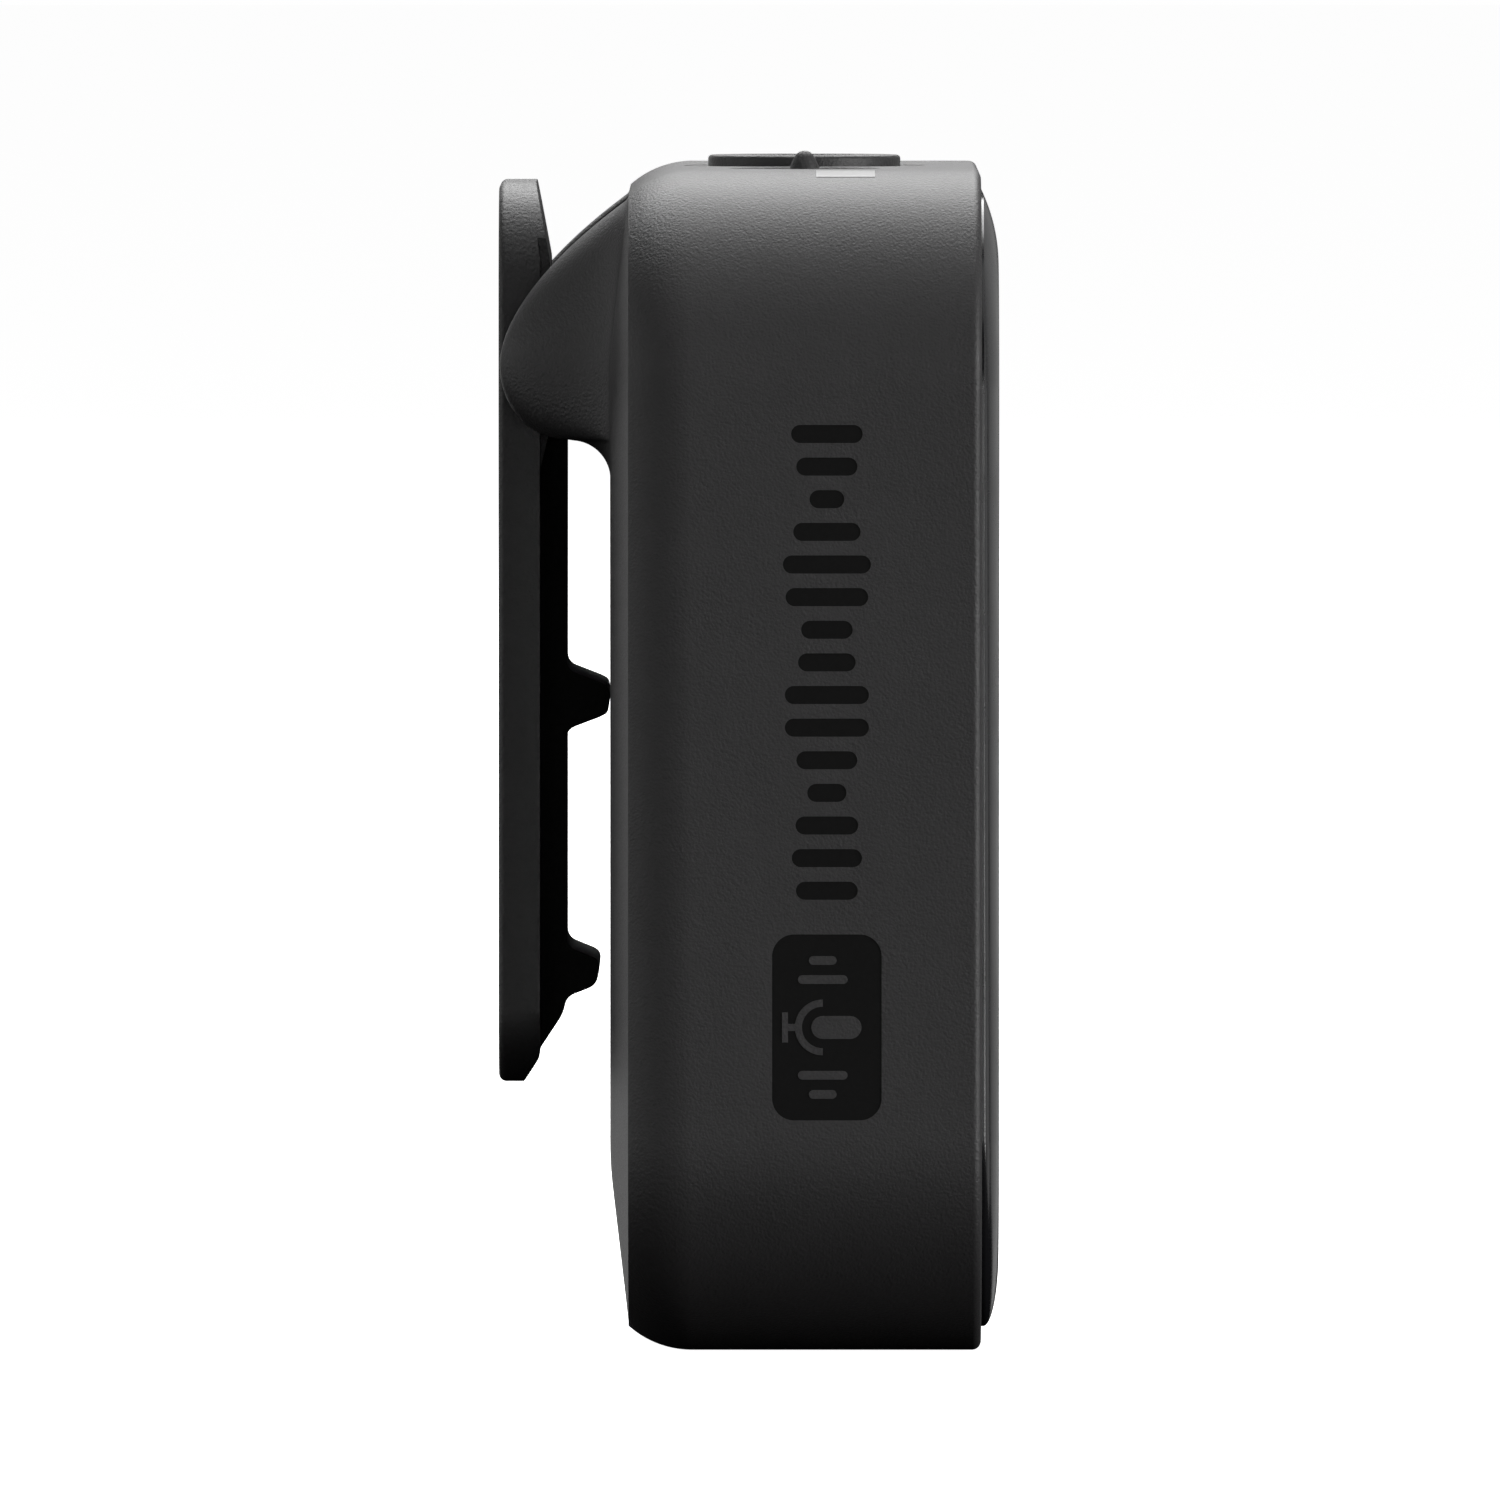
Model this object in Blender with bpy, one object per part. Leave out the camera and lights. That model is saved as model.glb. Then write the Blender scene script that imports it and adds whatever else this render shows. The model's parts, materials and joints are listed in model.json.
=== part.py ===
"""Clip-on wireless transmitter with a built-in microphone, as an assembly of separate pieces.

Frame: +Z up, +X across the width, the glossy front faces -Y and the spring clip is on +Y.
The origin is at the centre of the footprint, on the surface that the case stands on.
Dimensions are in millimetres, and meshes are scaled to metres as they are made.
"""

from math import asin, cos, degrees, hypot, pi, radians, sin, sqrt

import bmesh
import bpy
from mathutils import Matrix, Vector

MM = 0.001

# Case outline, seen from the front, and the section of its wall
CASE_WIDTH = 45.3
CASE_HEIGHT = 43.35
CORNER_RADIUS = 8.0
CORNER_STEPS = 8
WALL = 1.25
RIM_Y = -8.55
RIM_EDGE_RADIUS = 0.32
RECESS_INSET = 0.75
RECESS_Y = -7.90
FRONT_WALL_Y = -6.95
REAR_FILLET_RADIUS = 3.5
REAR_FILLET_Y = 2.07
CREASE_INSET = 0.88
CREASE_Y = 4.39
LEDGE_Y = 3.05
LEDGE_INSET = 2.0

# Front panel: a plate with a soft edge, fuller at the bottom, round a flat middle
FRONT_Y = -9.20
PANEL_INSET = 0.87
PANEL_BACK_Y = -8.16
PANEL_SIDE_Y = -8.64
PILLOW_WIDTH = 2.6
PILLOW_STEPS = 7
PILLOW_POWER_BOTTOM = 0.5
PILLOW_POWER_TOP = 1.0

# Rear cover: sloped border, flat platform and the two ears of the clip
COVER_POCKET_INSET = 0.94
COVER_INSET = 1.00
COVER_BACK_Y = 3.35
PLATFORM_Y = 5.07
SLOPE_WIDTH = 5.8
SLOPE_BLEND = 0.12
EAR_FOOT_Z = 31.9
EAR_FOOT_RADIUS = 1.45
EAR_NOSE_Y = 6.72
EAR_NOSE_Z = 36.15
EAR_NOSE_REACH = 2.43
EAR_NOSE_DROP = 2.75
EAR_TOP_LENGTH = 6.1
EAR_TOP_POWER = 1.75
EAR_FLANK_START = 10.8
EAR_FLANK_END = 14.5
EAR_FLANK_POWER = 2.2
SLOT_HALF_WIDTH = 9.45
SLOT_FLOOR_Y = 4.75
SLOT_FOOT_Z = 32.6

# Clip
HINGE_Y = 6.75
HINGE_Z = 36.1
PIN_RADIUS = 0.75
PIN_HOLE_RADIUS = 0.82
PIN_HALF_LENGTH = 11.2
CLIP_HALF_WIDTH = 9.15
CLIP_OUTER_Y = 9.20
CLIP_INNER_Y = 7.67
CLIP_FOOT_Z = 9.6
CLIP_TOP_Z = 42.79
CLIP_CORNER_RADIUS = 4.5
CLIP_FOOT_RADIUS = 2.7
CLIP_EDGE_RADIUS = 0.28
RIB_INNER_Y = 7.30
RIB_FOOT_Z = 32.2
RIB_HALF_WIDTH = 8.4
KNUCKLE_RADIUS = 1.6
KNUCKLE_INNER_X = 6.4
GRIP_HALF_WIDTH = 6.2
GRIP_INNER_Y = 6.70
SPRING_WIRE_RADIUS = 0.25
SPRING_COIL_RADIUS = 1.1
SPRING_TURNS = 5
SPRING_PITCH = 0.62

# Parts in the top face, from left to right
TOP_PARTS_Y = -2.08
BUTTON_X = -9.0
BUTTON_RADIUS = 2.6
BUTTON_TOP_Z = 43.25
MIC_RADIUS = 3.56
MIC_TOP_Z = 43.75
MIC_HOLE_RADIUS = 3.0
DISH_RADIUS = 4.5
DISH_Z = 43.22
JACK_X = 12.2
JACK_Y = -1.9
JACK_RADIUS = 2.9
JACK_BORE_RADIUS = 1.8

# Socket in the bottom face
USB_Y = -2.67
USB_HALF_SIZE = (4.47, 1.63)
USB_CORNER = 1.3
USB_SHEET = 0.3
USB_GAP = 0.22

# Board, posts and screws
BOARD_FRONT_Y = -5.2
BOARD_BACK_Y = -4.4
BOARD_GAP = 0.05
POST_PLACES = ((-17.5, 5.5), (17.5, 5.5), (-17.5, 38.0), (17.5, 38.0))
POST_RADIUS = 1.8
BOSS_RADIUS = 2.2
BOSS_Y = -6.05
POST_BORE_END_Y = -1.0
STANDOFF_PLACES = ((-13.3, 34.5), (13.3, 24.5))
STANDOFF_RADIUS = 1.8
LED_PLACES = ((-2.2, 37.0), (2.2, 37.0))
WINDOW_RADIUS = 0.55
SCREW_SHAFT_RADIUS = 0.7
SCREW_HEAD_RADIUS = 1.4

# How far joined bodies reach into one another, and how far cutters reach past a face
JOIN = 0.2
CUT = 1.0

# Finishes: base colour, roughness, metallic
FINISHES = {
    "moulded": ((0.024, 0.023, 0.024), 0.62, 0.0),
    "clip": ((0.020, 0.020, 0.021), 0.58, 0.0),
    "grip": ((0.006, 0.006, 0.006), 0.80, 0.0),
    "gloss": ((0.008, 0.008, 0.009), 0.10, 0.0),
    "steel": ((0.55, 0.55, 0.56), 0.28, 1.0),
    "brass": ((0.72, 0.52, 0.25), 0.30, 1.0),
    "board": ((0.010, 0.060, 0.030), 0.45, 0.0),
    "chip": ((0.015, 0.015, 0.017), 0.50, 0.0),
    "clear": ((0.75, 0.78, 0.80), 0.15, 0.0),
    "foil": ((0.60, 0.61, 0.63), 0.35, 1.0),
    "rubber": ((0.012, 0.012, 0.012), 0.85, 0.0),
    "red": ((0.45, 0.02, 0.02), 0.50, 0.0),
}


def clear_scene():
    """Remove every object and its material, so that the script can run again."""
    for old in list(bpy.data.objects):
        bpy.data.objects.remove(old, do_unlink=True)
    for old in list(bpy.data.materials):
        bpy.data.materials.remove(old)


def make_material(name, finish):
    """A Principled material in one of the finishes."""
    colour, roughness, metallic = FINISHES[finish]
    material = bpy.data.materials.new(name)
    material.use_nodes = True
    shader = material.node_tree.nodes["Principled BSDF"]
    shader.inputs["Base Color"].default_value = (*colour, 1.0)
    shader.inputs["Roughness"].default_value = roughness
    shader.inputs["Metallic"].default_value = metallic
    material.diffuse_color = (*colour, 1.0)
    return material


def place(axis, level, a, b):
    """A point at a level along an axis, with its other two coordinates in X, Y, Z order."""
    return {"X": (level, a, b), "Y": (a, level, b), "Z": (a, b, level)}[axis]


def arc(centre, radius, start, end, steps):
    """Points of a circular arc between two angles in degrees, both ends included."""
    angles = (radians(start + (end - start) * step / steps) for step in range(steps + 1))
    return [(centre[0] + radius * cos(angle), centre[1] + radius * sin(angle)) for angle in angles]


def circle_ring(axis, level, centre, radius, steps=24):
    """A ring of points round an axis."""
    return [place(axis, level, a, b) for a, b in arc(centre, radius, 0, 360, steps)[:-1]]


def rounded_ring(axis, level, centre, half_size, radius, steps=4, low_radius=None):
    """A rounded rectangle of points across an axis, whose low corners can have another radius."""
    points = []
    for quarter, (side_a, side_b) in enumerate(((1, 1), (-1, 1), (-1, -1), (1, -1))):
        bend = low_radius if low_radius and side_b < 0 else radius
        corner = (
            centre[0] + side_a * (half_size[0] - bend),
            centre[1] + side_b * (half_size[1] - bend),
        )
        points += arc(corner, bend, 90 * quarter, 90 * (quarter + 1), steps)
    return [place(axis, level, a, b) for a, b in points]


def case_ring(y, inset):
    """The case's outline at one depth, moved in from the outer wall by the inset."""
    half_size = (CASE_WIDTH / 2 - inset, CASE_HEIGHT / 2 - inset)
    return rounded_ring(
        "Y", y, (0, CASE_HEIGHT / 2), half_size, CORNER_RADIUS - inset, CORNER_STEPS
    )


def loft(rings, closed=False):
    """A closed body through rings of points: capped at both ends, or joined into a tube."""
    body = bmesh.new()
    loops = [[body.verts.new(point) for point in ring] for ring in rings]
    pairs = list(zip(loops, loops[1:]))
    if closed:
        pairs.append((loops[-1], loops[0]))
    else:
        body.faces.new(loops[0])
        body.faces.new(loops[-1])
    count = len(loops[0])
    for lower, upper in pairs:
        for i in range(count):
            j = (i + 1) % count
            body.faces.new((lower[i], lower[j], upper[j], upper[i]))
    bmesh.ops.recalc_face_normals(body, faces=body.faces)
    return body


def turned(axis, centre, profile, steps=24, closed=False):
    """A turned body from (radius, level) pairs along an axis."""
    rings = [circle_ring(axis, level, centre, radius, steps) for radius, level in profile]
    return loft(rings, closed)


def rod(axis, centre, radius, low, high, steps=24):
    """A round bar along an axis."""
    return turned(axis, centre, ((radius, low), (radius, high)), steps)


def prism(axis, outline, low, high):
    """An outline extruded along an axis."""
    return loft([[place(axis, level, a, b) for a, b in outline] for level in (low, high)])


def block_body(low, high):
    """A box between its lowest and highest corners."""
    outline = ((low[0], low[1]), (high[0], low[1]), (high[0], high[1]), (low[0], high[1]))
    return prism("Z", outline, low[2], high[2])


def add_part(name, body, finish, holder=None):
    """Make a named object in metres. A holder is the empty on a moving piece's axis."""
    mesh = bpy.data.meshes.new(name)
    body.to_mesh(mesh)
    body.free()
    mesh.transform(Matrix.Diagonal((MM, MM, MM, 1)))
    if holder:
        mesh.transform(Matrix.Translation(-holder.location))
    mesh.shade_smooth()
    mesh.set_sharp_from_angle(angle=radians(32))
    mesh.materials.append(make_material(name, finish))
    part = bpy.data.objects.new(name, mesh)
    part.parent = holder
    bpy.context.collection.objects.link(part)
    return part


def add_holder(name, place_mm):
    """An empty on a joint's axis, which carries the pieces that move about it."""
    holder = bpy.data.objects.new(name, None)
    holder.location = Vector(place_mm) * MM
    holder.empty_display_size = 5 * MM
    bpy.context.collection.objects.link(holder)
    return holder


def bevel(part, width, segments=2):
    """Round a part's sharp edges."""
    modifier = part.modifiers.new("edge_rounding", "BEVEL")
    modifier.width = width * MM
    modifier.segments = segments
    modifier.limit_method = "ANGLE"
    modifier.angle_limit = radians(40)


def combine(part, operation, bodies):
    """Join tools to a part or cut them out of it. The tools stay as hidden guides."""
    for number, body in enumerate(bodies, 1):
        tool_name = f"{part.name}_{operation.lower()}_{len(part.modifiers)}_{number}"
        mesh = bpy.data.meshes.new(tool_name)
        body.to_mesh(mesh)
        body.free()
        mesh.transform(Matrix.Diagonal((MM, MM, MM, 1)))
        tool = bpy.data.objects.new(tool_name, mesh)
        tool.hide_render = True
        tool.display_type = "WIRE"
        bpy.context.collection.objects.link(tool)
        modifier = part.modifiers.new(tool_name, "BOOLEAN")
        modifier.operation = operation
        modifier.solver = "EXACT"
        modifier.object = tool


def add_block(name, low, high, finish, edge=0.08):
    """A box with softened edges."""
    part = add_part(name, block_body(low, high), finish)
    bevel(part, edge, 1)
    return part


def add_wire(name, points, radius, finish, sides=2):
    """A round wire along a row of points, closed at both ends."""
    curve = bpy.data.curves.new(name, "CURVE")
    curve.dimensions = "3D"
    curve.bevel_depth = radius * MM
    curve.bevel_resolution = sides
    curve.use_fill_caps = True
    spline = curve.splines.new("POLY")
    spline.points.add(len(points) - 1)
    for target, point in zip(spline.points, points):
        target.co = (*(Vector(point) * MM), 1)
    curve.materials.append(make_material(name, finish))
    wire = bpy.data.objects.new(name, curve)
    bpy.context.collection.objects.link(wire)
    return wire


# Case


def housing_section():
    """The wall as (y, inset) pairs, from the front recess over the outside to the inside."""
    edge_centre = (RIM_Y + RIM_EDGE_RADIUS, RIM_EDGE_RADIUS)
    fillet_centre = (REAR_FILLET_Y, REAR_FILLET_RADIUS)
    fillet_end = degrees(asin(CREASE_INSET / REAR_FILLET_RADIUS - 1))
    return [
        (RECESS_Y, RECESS_INSET),
        (RIM_Y, RECESS_INSET),
        *arc(edge_centre, RIM_EDGE_RADIUS, 180, 270, 3),
        *arc(fillet_centre, REAR_FILLET_RADIUS, -90, fillet_end, 6),
        (CREASE_Y, COVER_POCKET_INSET),
        (LEDGE_Y, COVER_POCKET_INSET),
        (LEDGE_Y, LEDGE_INSET),
        (LEDGE_Y - 0.8, LEDGE_INSET),
        (LEDGE_Y - 1.6, WALL),
        (FRONT_WALL_Y + 0.4, WALL),
        (FRONT_WALL_Y, WALL + 0.4),
    ]


def add_housing():
    """The moulded tub: bosses and standoffs inside, holes for everything that shows."""
    housing = add_part("housing", loft([case_ring(y, i) for y, i in housing_section()]), "moulded")
    inside_y = FRONT_WALL_Y - JOIN
    standoff_y = BOARD_FRONT_Y - BOARD_GAP
    combine(housing, "UNION", [
        *(rod("Y", place_xz, BOSS_RADIUS, inside_y, BOSS_Y) for place_xz in POST_PLACES),
        *(rod("Y", place_xz, STANDOFF_RADIUS, inside_y, standoff_y) for place_xz in STANDOFF_PLACES),
    ])
    above = CASE_HEIGHT + CUT
    under_top_wall = CASE_HEIGHT - WALL - JOIN
    in_front = RECESS_Y - CUT
    head_room = SCREW_HEAD_RADIUS + 0.1
    shaft_room = SCREW_SHAFT_RADIUS + 0.15
    usb_room = (USB_HALF_SIZE[0] + USB_GAP, USB_HALF_SIZE[1] + USB_GAP)
    combine(housing, "DIFFERENCE", [
        rod("Z", (0, TOP_PARTS_Y), DISH_RADIUS, DISH_Z, above, 40),
        rod("Z", (0, TOP_PARTS_Y), MIC_HOLE_RADIUS, under_top_wall, above, 32),
        rod("Z", (BUTTON_X, TOP_PARTS_Y), BUTTON_RADIUS + 0.1, under_top_wall, above, 32),
        rod("Z", (JACK_X, JACK_Y), JACK_RADIUS + 0.1, under_top_wall, above, 32),
        loft([
            rounded_ring("Z", z, (0, USB_Y), usb_room, USB_CORNER + USB_GAP)
            for z in (-CUT, WALL + JOIN)
        ]),
        *(rod("Y", place_xz, shaft_room, in_front, BOSS_Y + CUT, 16) for place_xz in POST_PLACES),
        *(rod("Y", place_xz, head_room, in_front, RECESS_Y + 0.6, 20) for place_xz in POST_PLACES),
        *(rod("Y", place_xz, 0.55, FRONT_WALL_Y + JOIN, BOARD_FRONT_Y + CUT, 16)
          for place_xz in STANDOFF_PLACES),
        *(rod("Y", place_xz, WINDOW_RADIUS, in_front, FRONT_WALL_Y + CUT, 16)
          for place_xz in LED_PLACES),
    ])


def pillow_y(share, z):
    """The panel's face at a share of the way across its soft edge."""
    power = PILLOW_POWER_BOTTOM + (PILLOW_POWER_TOP - PILLOW_POWER_BOTTOM) * z / CASE_HEIGHT
    return PANEL_SIDE_Y + (FRONT_Y - PANEL_SIDE_Y) * (1 - (1 - share) ** 2) ** power


def add_front_panel():
    """The glossy plate, its windows for the light pipes, and the tape behind it."""
    rings = [case_ring(PANEL_BACK_Y, PANEL_INSET)]
    for step in range(PILLOW_STEPS + 1):
        share = 1 - cos(pi / 2 * step / PILLOW_STEPS)
        ring = case_ring(FRONT_Y, PANEL_INSET + PILLOW_WIDTH * share)
        rings.append([(x, pillow_y(share, z), z) for x, _, z in ring])
    panel = add_part("front_panel", loft(rings), "gloss")
    combine(panel, "DIFFERENCE", [
        rod("Y", place_xz, WINDOW_RADIUS, FRONT_Y - CUT, PANEL_BACK_Y + CUT, 16)
        for place_xz in LED_PLACES
    ])
    tape_y = (RECESS_Y - 0.03, RECESS_Y - 0.23)
    tape = ((tape_y[0], 1.0), (tape_y[1], 1.0), (tape_y[1], 2.6), (tape_y[0], 2.6))
    add_part("panel_adhesive", loft([case_ring(y, i) for y, i in tape], closed=True), "rubber")


# Rear cover


def smooth_min(a, b, blend):
    """The smaller of two values, with a rounded change from one to the other."""
    share = min(max(0.5 + 0.5 * (b - a) / blend, 0), 1)
    return b * (1 - share) + a * share - blend * share * (1 - share)


def cover_inset(x, z):
    """How far a point lies inside the cover's outline."""
    radius = CORNER_RADIUS - COVER_INSET
    across = abs(x) - (CASE_WIDTH / 2 - CORNER_RADIUS)
    along = abs(z - CASE_HEIGHT / 2) - (CASE_HEIGHT / 2 - CORNER_RADIUS)
    outside = hypot(max(across, 0), max(along, 0)) + min(max(across, along), 0)
    return max(radius - outside, 0)


def border_height(x, z):
    """The sloped border and the flat platform, without the ears."""
    rise = PLATFORM_Y - CREASE_Y
    slope = rise * cover_inset(x, z) / SLOPE_WIDTH
    return CREASE_Y + max(smooth_min(slope, rise, SLOPE_BLEND), 0)


def ear_profile():
    """The ears' side outline as (y, z) points: concave foot, round nose, falling top."""
    foot_centre = (PLATFORM_Y + EAR_FOOT_RADIUS, EAR_FOOT_Z)
    foot = arc(foot_centre, EAR_FOOT_RADIUS, 180, 94, 5)
    nose = [
        (EAR_NOSE_Y + EAR_NOSE_REACH * across, EAR_NOSE_Z + EAR_NOSE_DROP * up)
        for across, up in arc((0, 0), 1, -88, 0, 8)
    ]
    end_z = CASE_HEIGHT - COVER_INSET
    peak_y = EAR_NOSE_Y + EAR_NOSE_REACH
    top = []
    for step in range(1, 9):
        z = EAR_NOSE_Z + (end_z - EAR_NOSE_Z) * step / 8
        fall = ((z - EAR_NOSE_Z) / EAR_TOP_LENGTH) ** EAR_TOP_POWER
        top.append((CREASE_Y + (peak_y - CREASE_Y) * (1 - fall), z))
    return foot + nose + top


def ear_share(x):
    """The ears' height at x as a share of their full height: a flank that flares out."""
    t = (abs(x) - EAR_FLANK_START) / (EAR_FLANK_END - EAR_FLANK_START)
    t = min(max(t, 0), 1)
    return (1 - t) ** EAR_FLANK_POWER * (1 + EAR_FLANK_POWER * t)


def cover_columns():
    """X stations: round the corner, down the flank, across the slot and mirrored."""
    radius = CORNER_RADIUS - COVER_INSET
    corner = [x for x, _ in arc((CASE_WIDTH / 2 - CORNER_RADIUS, 0), radius, 0, 80, 6)]
    straight = CASE_WIDTH / 2 - CORNER_RADIUS
    flank = [straight - (straight - EAR_FLANK_START) * step / 7 for step in range(8)]
    half = corner + flank + [SLOT_HALF_WIDTH - 0.5, 4.0]
    return [-x for x in half] + half[::-1]


def cover_rows():
    """Z stations with the ears' height there: the lower border, the platform and the ears."""
    low = COVER_INSET
    rows = [(low + (CORNER_RADIUS - low) * step / 5, 0) for step in range(6)]
    rows += [(z, 0) for z in (14, 20, 26, 30)]
    rows += [(z, y) for y, z in ear_profile()]
    return rows


def cover_point(x, row_z, ear_y):
    """A point of the outer face. Rows close up where the outline's corners cut them short."""
    half = CASE_HEIGHT / 2
    straight = half - CORNER_RADIUS
    radius = CORNER_RADIUS - COVER_INSET
    across = max(abs(x) - (CASE_WIDTH / 2 - CORNER_RADIUS), 0)
    share = sqrt(max(radius ** 2 - across ** 2, 0)) / radius
    height = row_z - half
    beyond = max(abs(height) - straight, 0)
    if beyond:
        height = (straight + beyond * share) * (1 if height > 0 else -1)
    z = half + height
    ear = max(ear_y - border_height(0, z), 0) * ear_share(x)
    return x, border_height(x, z) + ear, z


def cover_body():
    """The plate between its flat back and its shaped outer face."""
    body = bmesh.new()
    columns = cover_columns()
    rows = cover_rows()
    outer = [[body.verts.new(cover_point(x, z, y)) for z, y in rows] for x in columns]
    last_column = len(columns) - 1
    last_row = len(rows) - 1
    for i in range(last_column):
        for j in range(last_row):
            body.faces.new((outer[i][j], outer[i + 1][j], outer[i + 1][j + 1], outer[i][j + 1]))
    edge = [outer[0][j] for j in range(last_row + 1)]
    edge += [outer[i][last_row] for i in range(1, last_column + 1)]
    edge += [outer[last_column][j] for j in range(last_row - 1, -1, -1)]
    edge += [outer[i][0] for i in range(last_column - 1, 0, -1)]
    inner = [body.verts.new((v.co.x, COVER_BACK_Y, v.co.z)) for v in edge]
    for i, low in enumerate(edge):
        j = (i + 1) % len(edge)
        body.faces.new((low, edge[j], inner[j], inner[i]))
    body.faces.new(inner)
    bmesh.ops.recalc_face_normals(body, faces=body.faces)
    return body


def add_rear_cover():
    """The cover with its clip slot, hinge bores and screw posts, and the gasket under its edge."""
    cover = add_part("rear_cover", cover_body(), "moulded")
    combine(cover, "UNION", [
        rod("Y", place_xz, POST_RADIUS, BOSS_Y + 0.05, COVER_BACK_Y + JOIN, 20)
        for place_xz in POST_PLACES
    ])
    slot_low = (-SLOT_HALF_WIDTH, SLOT_FLOOR_Y, SLOT_FOOT_Z)
    slot_high = (SLOT_HALF_WIDTH, CLIP_OUTER_Y + CUT, CASE_HEIGHT + CUT)
    bore_end = PIN_HALF_LENGTH + 0.1
    combine(cover, "DIFFERENCE", [
        block_body(slot_low, slot_high),
        rod("X", (HINGE_Y, HINGE_Z), PIN_HOLE_RADIUS, -bore_end, bore_end),
        *(rod("Y", place_xz, SCREW_SHAFT_RADIUS + 0.05, BOSS_Y - CUT, POST_BORE_END_Y, 16)
          for place_xz in POST_PLACES),
    ])
    seal = ((3.08, 1.35), (3.30, 1.35), (3.30, 1.9), (3.08, 1.9))
    add_part("cover_gasket", loft([case_ring(y, i) for y, i in seal], closed=True), "rubber")


def add_cover_screws():
    """Countersunk screws from under the front panel into the cover's posts."""
    head_y = RECESS_Y + 0.05
    profile = (
        (0.45, head_y + 0.3), (0.55, head_y),
        (SCREW_HEAD_RADIUS, head_y), (SCREW_HEAD_RADIUS, head_y + 0.5),
        (SCREW_SHAFT_RADIUS, head_y + 0.5), (SCREW_SHAFT_RADIUS, POST_BORE_END_Y - 0.5),
    )
    for number, place_xz in enumerate(POST_PLACES, 1):
        add_part(f"cover_screw_{number}", turned("Y", place_xz, profile, 16), "steel")


# Clip


def lever_outline():
    """The plate's side outline as (y, z) points, past the limits that trim it."""
    return [
        (CLIP_INNER_Y, CLIP_FOOT_Z + 0.97),
        (CLIP_INNER_Y + 1.22, CLIP_FOOT_Z - CUT),
        (CLIP_OUTER_Y + CUT, CLIP_FOOT_Z - CUT),
        (CLIP_OUTER_Y + CUT, CLIP_TOP_Z + CUT),
        (CLIP_INNER_Y + 0.62, CLIP_TOP_Z + CUT),
        (CLIP_INNER_Y, 40.1),
    ]


def rib_outline():
    """The side outline of the thicker middle, from under the hinge to the top."""
    return [
        (CLIP_INNER_Y + JOIN, RIB_FOOT_Z),
        (CLIP_INNER_Y, RIB_FOOT_Z),
        (RIB_INNER_Y, RIB_FOOT_Z + 1.6),
        (RIB_INNER_Y, 39.9),
        (RIB_INNER_Y + 0.71, CLIP_TOP_Z + CUT),
        (CLIP_INNER_Y + 0.92, CLIP_TOP_Z + CUT),
        (CLIP_INNER_Y + JOIN, 40.1),
    ]


def lever_limits():
    """A rounded column with soft outer edges, which gives the lever its outline from behind."""
    middle = (0, (CLIP_FOOT_Z + CLIP_TOP_Z) / 2)
    half_height = (CLIP_TOP_Z - CLIP_FOOT_Z) / 2
    edge_centre = (CLIP_OUTER_Y - CLIP_EDGE_RADIUS, CLIP_EDGE_RADIUS)
    sections = [(CLIP_INNER_Y - 1, 0), *arc(edge_centre, CLIP_EDGE_RADIUS, -90, 0, 3)]
    return loft([
        rounded_ring(
            "Y", y, middle, (CLIP_HALF_WIDTH - inset, half_height - inset),
            CLIP_CORNER_RADIUS - inset, 6, CLIP_FOOT_RADIUS - inset,
        )
        for y, inset in sections
    ])


def add_lever(holder):
    """The clip plate with its two knuckles, their bore and the pocket over the coil."""
    past_side = CLIP_HALF_WIDTH + CUT
    plate = prism("X", lever_outline(), -past_side, past_side)
    lever = add_part("clip_lever", plate, "clip", holder)
    combine(lever, "UNION", [prism("X", rib_outline(), -RIB_HALF_WIDTH, RIB_HALF_WIDTH)])
    combine(lever, "INTERSECT", [lever_limits()])
    knuckle = [
        *arc((HINGE_Y, HINGE_Z), KNUCKLE_RADIUS, 90, 270, 12),
        (CLIP_INNER_Y + JOIN, HINGE_Z - KNUCKLE_RADIUS),
        (CLIP_INNER_Y + JOIN, HINGE_Z + KNUCKLE_RADIUS),
    ]
    outer_x = CLIP_HALF_WIDTH - 0.16
    combine(lever, "UNION", [
        prism("X", knuckle, -outer_x, -KNUCKLE_INNER_X),
        prism("X", knuckle, KNUCKLE_INNER_X, outer_x),
    ])
    coil_room = SPRING_COIL_RADIUS + SPRING_WIRE_RADIUS + 0.25
    combine(lever, "DIFFERENCE", [
        rod("X", (HINGE_Y, HINGE_Z), PIN_HOLE_RADIUS, -past_side, past_side),
        rod("X", (HINGE_Y, HINGE_Z), coil_room, -3.0, 3.0),
    ])


def grip_outline():
    """The insert's side outline as (y, z) points, with its two teeth."""
    back_y = CLIP_INNER_Y - 0.05
    return [
        (back_y, 10.74),
        (6.82, 12.10),
        (GRIP_INNER_Y, 12.71),
        (5.80, 13.05),
        (5.58, 13.35),
        (5.44, 13.90),
        (5.62, 14.14),
        (GRIP_INNER_Y, 14.58),
        (GRIP_INNER_Y, 22.58),
        (5.30, 23.11),
        (5.13, 23.30),
        (5.13, 24.10),
        (5.30, 24.28),
        (GRIP_INNER_Y, 24.82),
        (GRIP_INNER_Y, 33.8),
        (RIB_INNER_Y - 0.30, 34.1),
        (RIB_INNER_Y - 0.05, 34.1),
        (RIB_INNER_Y - 0.05, RIB_FOOT_Z + 1.55),
        (back_y, RIB_FOOT_Z - 0.05),
    ]


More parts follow.
